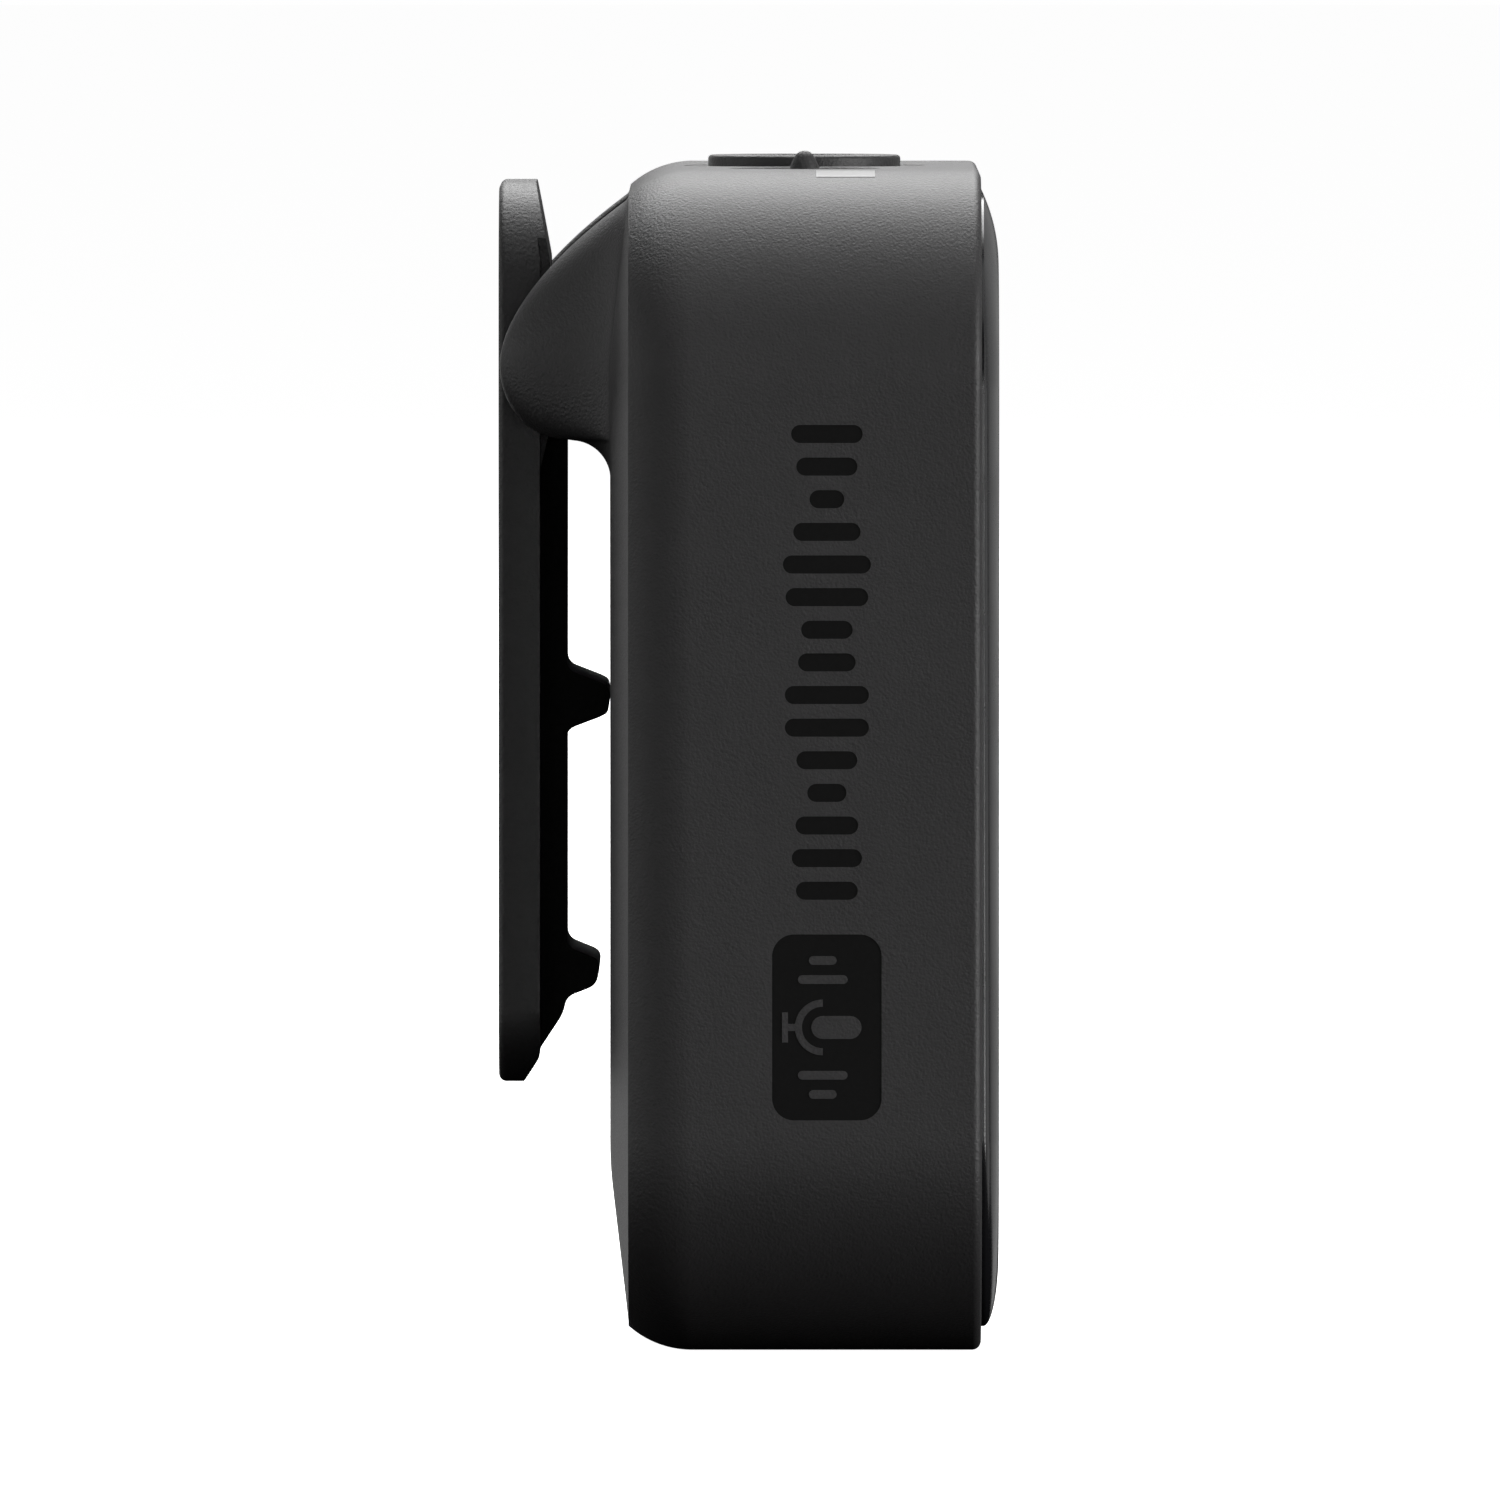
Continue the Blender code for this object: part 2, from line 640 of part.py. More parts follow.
def add_clip():
    """Everything that swings on the hinge, with the pin and the spring that stay on the case."""
    holder = add_holder("clip_axis", (0, HINGE_Y, HINGE_Z))
    add_lever(holder)
    grip = add_part(
        "clip_grip", prism("X", grip_outline(), -GRIP_HALF_WIDTH, GRIP_HALF_WIDTH), "grip", holder
    )
    bevel(grip, 0.05, 1)
    end = PIN_HALF_LENGTH
    pin = ((0.6, -end), (PIN_RADIUS, 0.15 - end), (PIN_RADIUS, end - 0.15), (0.6, end))
    add_part("clip_pin", turned("X", (HINGE_Y, HINGE_Z), pin), "steel")


def spring_path():
    """Leg on the slot floor, coil round the pin and leg up the inside of the lever."""
    start_x = -SPRING_PITCH * SPRING_TURNS / 2
    floor_y = SLOT_FLOOR_Y + SPRING_WIRE_RADIUS + 0.05
    points = [(start_x, floor_y, 33.3), (start_x, floor_y, 34.1)]
    steps = 12 * SPRING_TURNS
    for step in range(steps + 1):
        angle = pi - 2 * pi * SPRING_TURNS * step / steps
        points.append((
            start_x + SPRING_PITCH * SPRING_TURNS * step / steps,
            HINGE_Y + SPRING_COIL_RADIUS * cos(angle),
            HINGE_Z + SPRING_COIL_RADIUS * sin(angle),
        ))
    lever_y = RIB_INNER_Y - SPRING_WIRE_RADIUS - 0.05
    points += [(-start_x, lever_y - 0.12, 38.5), (-start_x, lever_y, 39.2)]
    return points


# Parts in the top face


def add_button():
    """The power button with its raised pip, the switch plunger under it and the switch."""
    holder = add_holder("button_axis", (BUTTON_X, TOP_PARTS_Y, BUTTON_TOP_Z))
    centre = (BUTTON_X, TOP_PARTS_Y)
    cap = [
        (1.0, 39.75), (1.0, 41.4), (3.2, 41.4), (3.2, 42.0), (BUTTON_RADIUS, 42.0),
        (BUTTON_RADIUS, BUTTON_TOP_Z - 0.12), (BUTTON_RADIUS - 0.12, BUTTON_TOP_Z),
        (0.6, BUTTON_TOP_Z), (0.48, 43.5), (0.36, 43.85), (0.12, 44.0),
    ]
    add_part("power_button", turned("Z", centre, cap, 28), "moulded", holder)
    plunger = ((0.6, 38.25), (0.6, 39.55), (0.5, 39.7))
    add_part("switch_plunger", turned("Z", centre, plunger, 16), "chip", holder)
    switch_low = (BUTTON_X - 2.0, BOARD_BACK_Y + BOARD_GAP, 35.6)
    switch_high = (BUTTON_X + 2.0, -1.2, 38.6)
    switch = add_block("tact_switch", switch_low, switch_high, "steel")
    combine(switch, "DIFFERENCE", [rod("Z", centre, 0.7, 37.7, switch_high[2] + CUT, 16)])


def add_microphone():
    """The raised ring with its mesh, over the capsule in a soft boot."""
    centre = (0, TOP_PARTS_Y)
    edge = 0.15
    ring = [
        (2.9, 41.75), (2.9, DISH_Z + 0.03), (MIC_RADIUS, DISH_Z + 0.03),
        *arc((MIC_RADIUS - edge, MIC_TOP_Z - edge), edge, 0, 90, 3),
        (2.35, MIC_TOP_Z), (2.25, 43.65), (2.25, 43.40), (1.2, 43.40), (1.2, 41.75),
    ]
    add_part("mic_ring", turned("Z", centre, ring, 40, closed=True), "moulded")
    add_part("mic_grille", rod("Z", centre, 2.2, 43.43, 43.55, 28), "steel")
    boot = ((3.6, 39.05), (3.6, 41.7), (1.4, 41.7), (1.4, 41.4), (3.05, 41.4), (3.05, 39.05))
    add_part("mic_boot", turned("Z", centre, boot, 24, closed=True), "rubber")
    capsule = ((3.0, 39.1), (3.0, 41.25), (2.85, 41.35))
    add_part("mic_capsule", turned("Z", centre, capsule, 24), "foil")


def add_jack():
    """The 3.5 mm socket: collar in the top face, body below it and its solder tabs."""
    centre = (JACK_X, JACK_Y)
    collar = [
        (JACK_RADIUS, 42.05), (JACK_RADIUS, 43.20), (JACK_RADIUS - 0.1, 43.30),
        (JACK_BORE_RADIUS + 0.15, 43.30), (JACK_BORE_RADIUS, 43.15), (JACK_BORE_RADIUS, 42.05),
    ]
    add_part("jack_collar", turned("Z", centre, collar, 32, closed=True), "chip")
    body = ((JACK_BORE_RADIUS, 29.4), (JACK_BORE_RADIUS, 42.0), (2.8, 42.0), (2.8, 28.6))
    add_part("jack_body", turned("Z", centre, body), "chip")
    for number in range(3):
        x = JACK_X + 1.8 * (number - 1)
        add_block(
            f"jack_contact_{number + 1}",
            (x - 0.4, BOARD_BACK_Y + BOARD_GAP, 26.2), (x + 0.4, BOARD_BACK_Y + 0.35, 28.55), "brass",
        )


def add_usb_socket():
    """The charging socket in the bottom face: a steel shell and the tongue inside it."""
    centre = (0, USB_Y)
    inner = (USB_HALF_SIZE[0] - USB_SHEET, USB_HALF_SIZE[1] - USB_SHEET)
    shell = [
        rounded_ring("Z", 0.3, centre, USB_HALF_SIZE, USB_CORNER),
        rounded_ring("Z", 7.6, centre, USB_HALF_SIZE, USB_CORNER),
        rounded_ring("Z", 7.6, centre, inner, USB_CORNER - USB_SHEET),
        rounded_ring("Z", 0.3, centre, inner, USB_CORNER - USB_SHEET),
    ]
    add_part("usb_shell", loft(shell, closed=True), "steel")
    base = (inner[0] - 0.06, inner[1] - 0.06)
    tongue = (3.3, 0.35)
    rings = [rounded_ring("Z", z, centre, base, 0.9) for z in (7.5, 6.4)]
    rings += [rounded_ring("Z", z, centre, tongue, 0.2) for z in (6.4, 1.0)]
    add_part("usb_tongue", loft(rings), "chip")


# Electronics


def add_board():
    """The board with a notch beside the jack, and the two screws that hold it."""
    outline = (
        (-15.3, 2.5), (15.3, 2.5), (15.3, 27.8), (8.9, 27.8), (8.9, 39.0), (-15.3, 39.0)
    )
    board = add_part("circuit_board", prism("Y", outline, BOARD_FRONT_Y, BOARD_BACK_Y), "board")
    combine(board, "DIFFERENCE", [
        rod("Y", place_xz, 0.7, BOARD_FRONT_Y - CUT, BOARD_BACK_Y + CUT, 16)
        for place_xz in STANDOFF_PLACES
    ])
    head_y = BOARD_BACK_Y + BOARD_GAP
    profile = ((0.5, -6.5), (0.5, head_y), (1.4, head_y), (1.4, head_y + 0.4), (1.1, head_y + 0.6))
    for number, place_xz in enumerate(STANDOFF_PLACES, 1):
        add_part(f"board_screw_{number}", turned("Y", place_xz, profile, 16), "steel")


def add_chips():
    """What is soldered to the board."""
    back = BOARD_BACK_Y + BOARD_GAP
    shield_centre = (-7.0, 20.0)
    shield = [
        rounded_ring("Y", -2.45, shield_centre, (5.85, 5.85), 0.4, 2),
        rounded_ring("Y", back, shield_centre, (5.85, 5.85), 0.4, 2),
        rounded_ring("Y", back, shield_centre, (6.0, 6.0), 0.55, 2),
        rounded_ring("Y", -2.30, shield_centre, (6.0, 6.0), 0.55, 2),
    ]
    add_part("rf_shield", loft(shield), "foil")
    add_block("radio_chip", (-10.0, back, 17.0), (-4.0, back + 0.85, 23.0), "chip")
    add_block("codec_chip", (2.5, back, 20.0), (7.5, back + 0.9, 25.0), "chip")
    add_block("charger_chip", (6.5, back, 10.0), (10.0, back + 0.8, 13.5), "chip")
    add_block("crystal", (3.0, back, 14.5), (6.2, back + 0.7, 17.0), "steel")
    add_block("chip_antenna", (1.0, back, 36.2), (7.6, back + 1.1, 38.4), "clear")
    front = BOARD_FRONT_Y - BOARD_GAP
    pipe = [
        (0.45, FRONT_Y + 0.03), (0.45, -6.75), (0.9, -6.75), (0.9, -6.35), (0.6, -6.35), (0.6, -5.9)
    ]
    for number, (x, z) in enumerate(LED_PLACES, 1):
        led_low = (x - 0.5, front - 0.55, z - 0.4)
        led_high = (x + 0.5, front, z + 0.4)
        add_block(f"status_led_{number}", led_low, led_high, "clear")
        add_part(f"light_pipe_{number}", turned("Y", (x, z), pipe, 16), "clear")


def add_battery():
    """The cell behind the board, its foam pad, and its leads to the connector."""
    cell = add_part("battery_cell", block_body((-14.5, -1.6, 8.5), (14.5, 2.7, 27.5)), "foil")
    bevel(cell, 1.0, 3)
    add_block("battery_pad", (-12.0, -2.2, 11.0), (12.0, -1.65, 25.0), "rubber")
    connector_low = (-14.6, BOARD_BACK_Y + BOARD_GAP, 29.2)
    add_block("battery_connector", connector_low, (-11.0, -2.6, 31.6), "clear")
    leads = (("battery_lead_plus", -13.6, "red"), ("battery_lead_minus", -12.0, "rubber"))
    for name, x, finish in leads:
        loop = [(x, 0.5, 27.65), (x, 0.5, 29.8)]
        loop += [(x, y, z) for y, z in arc((-1.5, 32.4), 2.0, 0, 180, 8)]
        loop.append((x, -3.5, 31.7))
        add_wire(name, loop, 0.35, finish, 1)


def main():
    """Build every piece."""
    clear_scene()
    add_housing()
    add_front_panel()
    add_rear_cover()
    add_cover_screws()
    add_clip()
    add_wire("clip_spring", spring_path(), SPRING_WIRE_RADIUS, "steel")
    add_button()
    add_microphone()
    add_jack()
    add_usb_socket()
    add_board()
    add_chips()
    add_battery()


main()
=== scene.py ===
"""Looks for the clip-on wireless transmitter: fine meshes, materials, light and camera."""

import json
from math import asin, cos, degrees, hypot, pi, radians, sin, sqrt

import bmesh
import bpy
from mathutils import Matrix, Vector


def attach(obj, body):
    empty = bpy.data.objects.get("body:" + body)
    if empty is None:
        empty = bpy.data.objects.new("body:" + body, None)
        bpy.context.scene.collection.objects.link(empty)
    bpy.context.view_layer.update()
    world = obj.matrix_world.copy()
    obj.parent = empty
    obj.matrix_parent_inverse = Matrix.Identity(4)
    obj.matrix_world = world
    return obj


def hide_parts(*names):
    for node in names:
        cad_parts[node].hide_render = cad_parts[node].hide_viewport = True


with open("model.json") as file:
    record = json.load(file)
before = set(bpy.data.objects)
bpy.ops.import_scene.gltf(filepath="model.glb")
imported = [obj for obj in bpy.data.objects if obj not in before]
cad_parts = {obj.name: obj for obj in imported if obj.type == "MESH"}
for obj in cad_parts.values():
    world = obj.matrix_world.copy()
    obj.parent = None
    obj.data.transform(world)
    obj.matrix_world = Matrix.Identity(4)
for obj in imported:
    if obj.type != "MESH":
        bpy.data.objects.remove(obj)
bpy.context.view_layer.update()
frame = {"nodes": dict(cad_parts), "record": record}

# Sizes are in millimetres, in the CAD model's frame, where nothing else is said.
MM = 0.001
CUT = 1.0  # how far a cutter reaches past the face it opens

# Case outline and wall section
CASE_WIDTH = 45.3
CASE_HEIGHT = 43.35
CORNER_RADIUS = 8.0
CORNER_STEPS = 28
WALL = 1.25
RIM_Y = -8.55
RIM_EDGE_RADIUS = 0.32
RECESS_INSET = 0.75
RECESS_Y = -7.90
FRONT_WALL_Y = -6.95
REAR_FILLET_RADIUS = 3.5
REAR_FILLET_Y = 2.07
CREASE_INSET = 0.88
CREASE_Y = 4.39
LEDGE_Y = 3.05
LEDGE_INSET = 2.0

# Front panel
FRONT_Y = -9.20
PANEL_INSET = 0.87
PANEL_BACK_Y = -8.16
PANEL_SIDE_Y = -8.64
PILLOW_WIDTH = 2.6
PILLOW_POWER_BOTTOM = 0.5
PILLOW_POWER_TOP = 1.0

# Rear cover and its ears
COVER_INSET = 1.00
COVER_BACK_Y = 3.35
PLATFORM_Y = 5.07
SLOPE_WIDTH = 5.8
SLOPE_BLEND = 0.10
EAR_FOOT_Z = 31.9
EAR_FOOT_RADIUS = 1.45
EAR_NOSE_Y = 6.72
EAR_NOSE_Z = 36.15
EAR_NOSE_REACH = 2.43
EAR_NOSE_DROP = 2.75
EAR_TOP_LENGTH = 6.1
EAR_TOP_POWER = 1.75
EAR_FLANK_START = 10.8
EAR_FLANK_END = 14.5
EAR_FLANK_POWER = 2.2
EAR_EDGE_RADIUS = 0.35
SLOT_HALF_WIDTH = 9.45
SLOT_FLOOR_Y = 4.75
SLOT_FOOT_Z = 32.6

# Clip
HINGE = (6.75, 36.1)
PIN_RADIUS = 0.75
PIN_HOLE_RADIUS = 0.82
PIN_HALF_LENGTH = 11.2
CLIP_HALF_WIDTH = 9.15
CLIP_OUTER_Y = 9.20
CLIP_INNER_Y = 7.67
CLIP_FOOT_Z = 9.6
CLIP_TOP_Z = 42.79
CLIP_CORNER_RADIUS = 4.5
CLIP_FOOT_RADIUS = 2.7
CLIP_EDGE_RADIUS = 0.28
RIB_INNER_Y = 7.30
RIB_FOOT_Z = 32.2
RIB_HALF_WIDTH = 8.4
KNUCKLE_RADIUS = 1.6
KNUCKLE_INNER_X = 6.4
GRIP_HALF_WIDTH = 6.2
GRIP_INNER_Y = 6.70
WIRE_RADIUS = 0.25
COIL_RADIUS = 1.1
COIL_TURNS = 5
COIL_PITCH = 0.62

# Parts in the top and bottom faces
TOP_PARTS_Y = -2.08
BUTTON_X = -9.0
BUTTON_RADIUS = 2.6
BUTTON_TOP_Z = 43.25
PIP_RADIUS = 0.58
PIP_TOP_Z = 44.0
PIP_STEPS = 14
MIC_RADIUS = 3.56
MIC_TOP_Z = 43.75
DISH_RADIUS = 4.5
DISH_Z = 43.22
MESH_RADIUS = 2.2
MESH_Z = 43.49
MESH_WIRES = 13
MESH_WIRE_RADIUS = 0.05
JACK = (12.2, -1.9)
JACK_RADIUS = 2.9
JACK_BORE_RADIUS = 1.8
USB_CENTRE = (0, -2.67)
USB_HALF_SIZE = (4.47, 1.63)
USB_CORNER = 1.3
USB_SHEET = 0.3
POST_PLACES = ((-17.5, 5.5), (17.5, 5.5), (-17.5, 38.0), (17.5, 38.0))
STANDOFF_PLACES = ((-13.3, 34.5), (13.3, 24.5))
LED_PLACES = ((-2.2, 37.0), (2.2, 37.0))
WINDOW_RADIUS = 0.55
SCREW_SHAFT_RADIUS = 0.7
SCREW_HEAD_RADIUS = 1.4
SCREW_HEAD_GAP = 0.1

# Printing on the left side: a wave of bars over a badge with a microphone pictogram
PRINT_Y = -2.88
PRINT_DEPTH = 0.03
WAVE_BARS = 15
WAVE_LOW_Z = 17.1
WAVE_HIGH_Z = 33.8
WAVE_BAR_RADIUS = 0.33
BADGE_Z = 12.1
BADGE_HALF_SIZE = (2.0, 3.4)
BADGE_CORNER = 0.8


# Camera and lights, in metres
CAMERA_PLACE = (-1.6, -0.00007, 0.06247)
CAMERA_TARGET = (0, -0.00007, 0.02167)
CAMERA_LENS = 1036
LIGHT_TARGET = (0, 0, 0.022)


# Shapes


def place(axis, level, a, b):
    """A point at a level along an axis, with its other two coordinates in X, Y, Z order."""
    return {"X": (level, a, b), "Y": (a, level, b), "Z": (a, b, level)}[axis]


def arc(centre, radius, start, end, steps):
    """Points of a circular arc between two angles in degrees, both ends included."""
    angles = (radians(start + (end - start) * step / steps) for step in range(steps + 1))
    return [(centre[0] + radius * cos(angle), centre[1] + radius * sin(angle)) for angle in angles]


def rounded_ring(axis, level, centre, half_size, radius, steps=10, low_radius=None):
    """A rounded rectangle of points across an axis, whose low corners can have another radius."""
    points = []
    for quarter, (side_a, side_b) in enumerate(((1, 1), (-1, 1), (-1, -1), (1, -1))):
        bend = low_radius if low_radius and side_b < 0 else radius
        corner = (
            centre[0] + side_a * (half_size[0] - bend),
            centre[1] + side_b * (half_size[1] - bend),
        )
        points += arc(corner, bend, 90 * quarter, 90 * (quarter + 1), steps)
    return [place(axis, level, a, b) for a, b in points]


def case_ring(y, inset):
    """The case's outline at one depth, moved in from the outer wall by the inset."""
    half_size = (CASE_WIDTH / 2 - inset, CASE_HEIGHT / 2 - inset)
    radius = CORNER_RADIUS - inset
    return rounded_ring("Y", y, (0, CASE_HEIGHT / 2), half_size, radius, CORNER_STEPS)


def loft(rings, closed=False):
    """A closed body through rings of points: capped at both ends, or joined into a tube."""
    body = bmesh.new()
    loops = [[body.verts.new(point) for point in ring] for ring in rings]
    pairs = list(zip(loops, loops[1:]))
    if closed:
        pairs.append((loops[-1], loops[0]))
    else:
        body.faces.new(loops[0])
        body.faces.new(loops[-1])
    count = len(loops[0])
    for lower, upper in pairs:
        for i in range(count):
            j = (i + 1) % count
            body.faces.new((lower[i], lower[j], upper[j], upper[i]))
    bmesh.ops.recalc_face_normals(body, faces=body.faces)
    return body


def turned(axis, centre, profile, steps=64, closed=False):
    """A turned body from (radius, level) pairs along an axis."""
    rings = []
    for radius, level in profile:
        points = arc(centre, radius, 0, 360, steps)[:-1]
        rings.append([place(axis, level, a, b) for a, b in points])
    return loft(rings, closed)


def prism(axis, outline, low, high):
    """An outline extruded along an axis."""
    return loft([[place(axis, level, a, b) for a, b in outline] for level in (low, high)])


def rounded_path(points, radius, steps=5):
    """An open row of points with each inner corner rounded, starting at the radius from it."""
    path = [points[0]]
    for before, corner, after in zip(points, points[1:], points[2:]):
        here = Vector(corner)
        back = Vector(before) - here
        ahead = Vector(after) - here
        start = here + back.normalized() * min(radius, back.length * 0.48)
        end = here + ahead.normalized() * min(radius, ahead.length * 0.48)
        for step in range(steps + 1):
            t = step / steps
            point = start * (1 - t) ** 2 + here * 2 * t * (1 - t) + end * t ** 2
            path.append((point.x, point.y))
    path.append(points[-1])
    return path


def tube(points, radius, sides=12):
    """A round wire of one closed body along a row of points."""
    path = [Vector(point) for point in points]
    side = Vector((1, 0, 0))
    rings = []
    for i, point in enumerate(path):
        ahead = path[min(i + 1, len(path) - 1)] - path[max(i - 1, 0)]
        ahead.normalize()
        side = (side - ahead * side.dot(ahead)).normalized()
        up = ahead.cross(side)
        turn = [2 * pi * k / sides for k in range(sides)]
        rings.append([point + (side * cos(a) + up * sin(a)) * radius for a in turn])
    return loft(rings)


def new_mesh_object(name, body):
    """An object in metres from a body in millimetres."""
    mesh = bpy.data.meshes.new(name)
    body.to_mesh(mesh)
    body.free()
    mesh.transform(Matrix.Diagonal((MM, MM, MM, 1)))
    thing = bpy.data.objects.new(name, mesh)
    bpy.context.scene.collection.objects.link(thing)
    return thing


def bake_modifiers(thing):
    """Replace an object's mesh by what its modifiers make of it."""
    graph = bpy.context.evaluated_depsgraph_get()
    mesh = bpy.data.meshes.new_from_object(thing.evaluated_get(graph))
    thing.modifiers.clear()
    thing.data = mesh


def combine(thing, operation, bodies, material=None):
    """Join bodies to an object or cut them out of it. Cut faces take the material, if any."""
    tools = []
    for body in bodies:
        tool = new_mesh_object("tool", body)
        if material:
            tool.data.materials.append(material)
        modifier = thing.modifiers.new("combine", "BOOLEAN")
        modifier.operation = operation
        modifier.solver = "EXACT"
        modifier.material_mode = "TRANSFER" if material else "INDEX"
        modifier.object = tool
        tools.append(tool)
    bake_modifiers(thing)
    for tool in tools:
        bpy.data.objects.remove(tool)


def soften(thing, width, segments=3, angle=40):
    """Round an object's sharp edges."""
    modifier = thing.modifiers.new("soften", "BEVEL")
    modifier.width = width * MM
    modifier.segments = segments
    modifier.limit_method = "ANGLE"
    modifier.angle_limit = radians(angle)
    bake_modifiers(thing)


def show(thing, body, slot, material, *nodes):
    """Give a piece its body and finish, and the CAD nodes that it stands for. The slot is not used."""
    mesh = thing.data
    if material.name not in mesh.materials:
        mesh.materials.append(material)
    mesh.shade_smooth()
    mesh.set_sharp_from_angle(angle=radians(30))
    weighted = thing.modifiers.new("weighted_normals", "WEIGHTED_NORMAL")
    weighted.keep_sharp = True
    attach(thing, body)
    if nodes:
        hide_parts(*nodes)
    return thing


# Materials


def add_node(tree, kind, inputs=None, **settings):
    """A node with its settings, and inputs given as values or as sockets to link."""
    node = tree.nodes.new(kind)
    for key, value in settings.items():
        setattr(node, key, value)
    for key, value in (inputs or {}).items():
        if isinstance(value, bpy.types.NodeSocket):
            tree.links.new(value, node.inputs[key])
        else:
            node.inputs[key].default_value = value
    return node


def maths(tree, operation, a, b):
    """The result of a maths node."""
    return add_node(tree, "ShaderNodeMath", {0: a, 1: b}, operation=operation).outputs[0]


def noise(tree, point, size_mm, detail):
    """Noise with features of about a size."""
    inputs = {"Vector": point, "Scale": 1 / (size_mm * MM), "Detail": detail, "Roughness": 0.55}
    return add_node(tree, "ShaderNodeTexNoise", inputs).outputs["Fac"]


def remap(tree, value, low, high, out_low, out_high):
    """A value moved from one range to another."""
    inputs = {"Value": value, "From Min": low, "From Max": high, "To Min": out_low, "To Max": out_high}
    return add_node(tree, "ShaderNodeMapRange", inputs).outputs["Result"]


def blend_colours(tree, share, first, second):
    """One colour turning into another as the share rises."""
    node = add_node(tree, "ShaderNodeMix", {"Factor": share}, data_type="RGBA")
    for socket, colour in (("A_Color", first), ("B_Color", second)):
        target = next(item for item in node.inputs if item.identifier == socket)
        if isinstance(colour, bpy.types.NodeSocket):
            tree.links.new(colour, target)
        else:
            target.default_value = (*colour, 1)
    return next(item for item in node.outputs if item.identifier == "Result_Color")


def start_material(name, metallic=0.0, ior=1.5, **constants):
    """A new material, its node tree, its shader and the object's own coordinates."""
    material = bpy.data.materials.new(name)
    material.use_nodes = True
    tree = material.node_tree
    shader = tree.nodes["Principled BSDF"]
    shader.inputs["Metallic"].default_value = metallic
    shader.inputs["IOR"].default_value = ior
    for key, value in constants.items():
        shader.inputs[key.replace("_", " ")].default_value = value
    point = add_node(tree, "ShaderNodeTexCoord").outputs["Object"]
    return material, tree, shader, point


def edge_wear(tree, low=0.52, high=0.62):
    """A mask of the convex edges, where handling polishes a surface."""
    pointiness = add_node(tree, "ShaderNodeNewGeometry").outputs["Pointiness"]
    return remap(tree, pointiness, low, high, 0.0, 1.0)


def moulded(name, colour, roughness, grain_mm, grain_depth_mm, worn=1.25, specular=0.5):
    """Plastic, rubber or ink with a fine moulded grain, slight mottling and polished edges."""
    material, tree, shader, point = start_material(name, Specular_IOR_Level=specular)
    cells = add_node(
        tree,
        "ShaderNodeTexVoronoi",
        {"Vector": point, "Scale": 1 / (grain_mm * MM), "Smoothness": 0.6},
        feature="SMOOTH_F1",
    ).outputs["Distance"]
    fine = noise(tree, point, grain_mm * 0.8, 4.0)
    grain = maths(tree, "ADD", maths(tree, "MULTIPLY", cells, 0.55), fine)
    bump = add_node(
        tree,
        "ShaderNodeBump",
        {"Height": grain, "Strength": 1.0, "Distance": grain_depth_mm * MM},
    )
    tree.links.new(bump.outputs["Normal"], shader.inputs["Normal"])
    mottle = noise(tree, point, 3.0, 2.0)
    darker = tuple(part * 0.86 for part in colour)
    lighter = tuple(part * 1.12 for part in colour)
    base = blend_colours(tree, mottle, darker, lighter)
    edges = edge_wear(tree)
    base = blend_colours(tree, edges, base, tuple(part * worn for part in colour))
    tree.links.new(base, shader.inputs["Base Color"])
    rough = remap(tree, fine, 0.25, 0.75, roughness - 0.04, roughness + 0.04)
    rough = maths(tree, "SUBTRACT", rough, maths(tree, "MULTIPLY", edges, 0.08))
    tree.links.new(rough, shader.inputs["Roughness"])
    return material


def polished(name, colour, roughness):
    """Gloss plastic with a trace of haze and the slightest moulding ripple."""
    material, tree, shader, point = start_material(name, Coat_Weight=0.15, Coat_Roughness=0.12)
    haze = noise(tree, point, 6.0, 5.0)
    rough = remap(tree, haze, 0.3, 0.7, roughness * 0.7, roughness * 1.5)
    tree.links.new(rough, shader.inputs["Roughness"])
    darker = tuple(part * 0.9 for part in colour)
    tree.links.new(blend_colours(tree, haze, darker, colour), shader.inputs["Base Color"])
    ripple = noise(tree, point, 9.0, 1.0)
    bump = add_node(tree, "ShaderNodeBump", {"Height": ripple, "Strength": 0.3, "Distance": 0.01 * MM})
    tree.links.new(bump.outputs["Normal"], shader.inputs["Normal"])
    return material


def metal(name, colour, roughness, stretch=(1.0, 12.0, 12.0)):
    """Drawn or brushed metal: fine lines along X, with uneven polish."""
    material, tree, shader, point = start_material(name, metallic=1.0)
    lines = add_node(tree, "ShaderNodeMapping", {"Vector": point, "Scale": stretch}).outputs["Vector"]
    brushed = noise(tree, lines, 1.2, 4.0)
    rough = remap(tree, brushed, 0.3, 0.7, roughness * 0.75, roughness * 1.3)
    tree.links.new(rough, shader.inputs["Roughness"])
    darker = tuple(part * 0.82 for part in colour)
    tree.links.new(blend_colours(tree, brushed, darker, colour), shader.inputs["Base Color"])
    bump = add_node(tree, "ShaderNodeBump", {"Height": brushed, "Strength": 0.5, "Distance": 0.003 * MM})
    tree.links.new(bump.outputs["Normal"], shader.inputs["Normal"])
    return material


def laminate(name):
    """Green solder mask over a maze of tracks."""
    material, tree, shader, point = start_material(name)
    tracks = add_node(
        tree,
        "ShaderNodeTexVoronoi",
        {"Vector": point, "Scale": 1 / (1.6 * MM), "Randomness": 0.6},
        distance="MANHATTAN",
    ).outputs["Distance"]
    mask = remap(tree, tracks, 0.52, 0.56, 0.0, 1.0)
    base = blend_colours(tree, mask, (0.008, 0.050, 0.024), (0.018, 0.110, 0.050))
    tree.links.new(base, shader.inputs["Base Color"])
    tree.links.new(remap(tree, mask, 0.0, 1.0, 0.34, 0.42), shader.inputs["Roughness"])
    bump = add_node(tree, "ShaderNodeBump", {"Height": mask, "Strength": 0.5, "Distance": 0.02 * MM})
    tree.links.new(bump.outputs["Normal"], shader.inputs["Normal"])
    return material


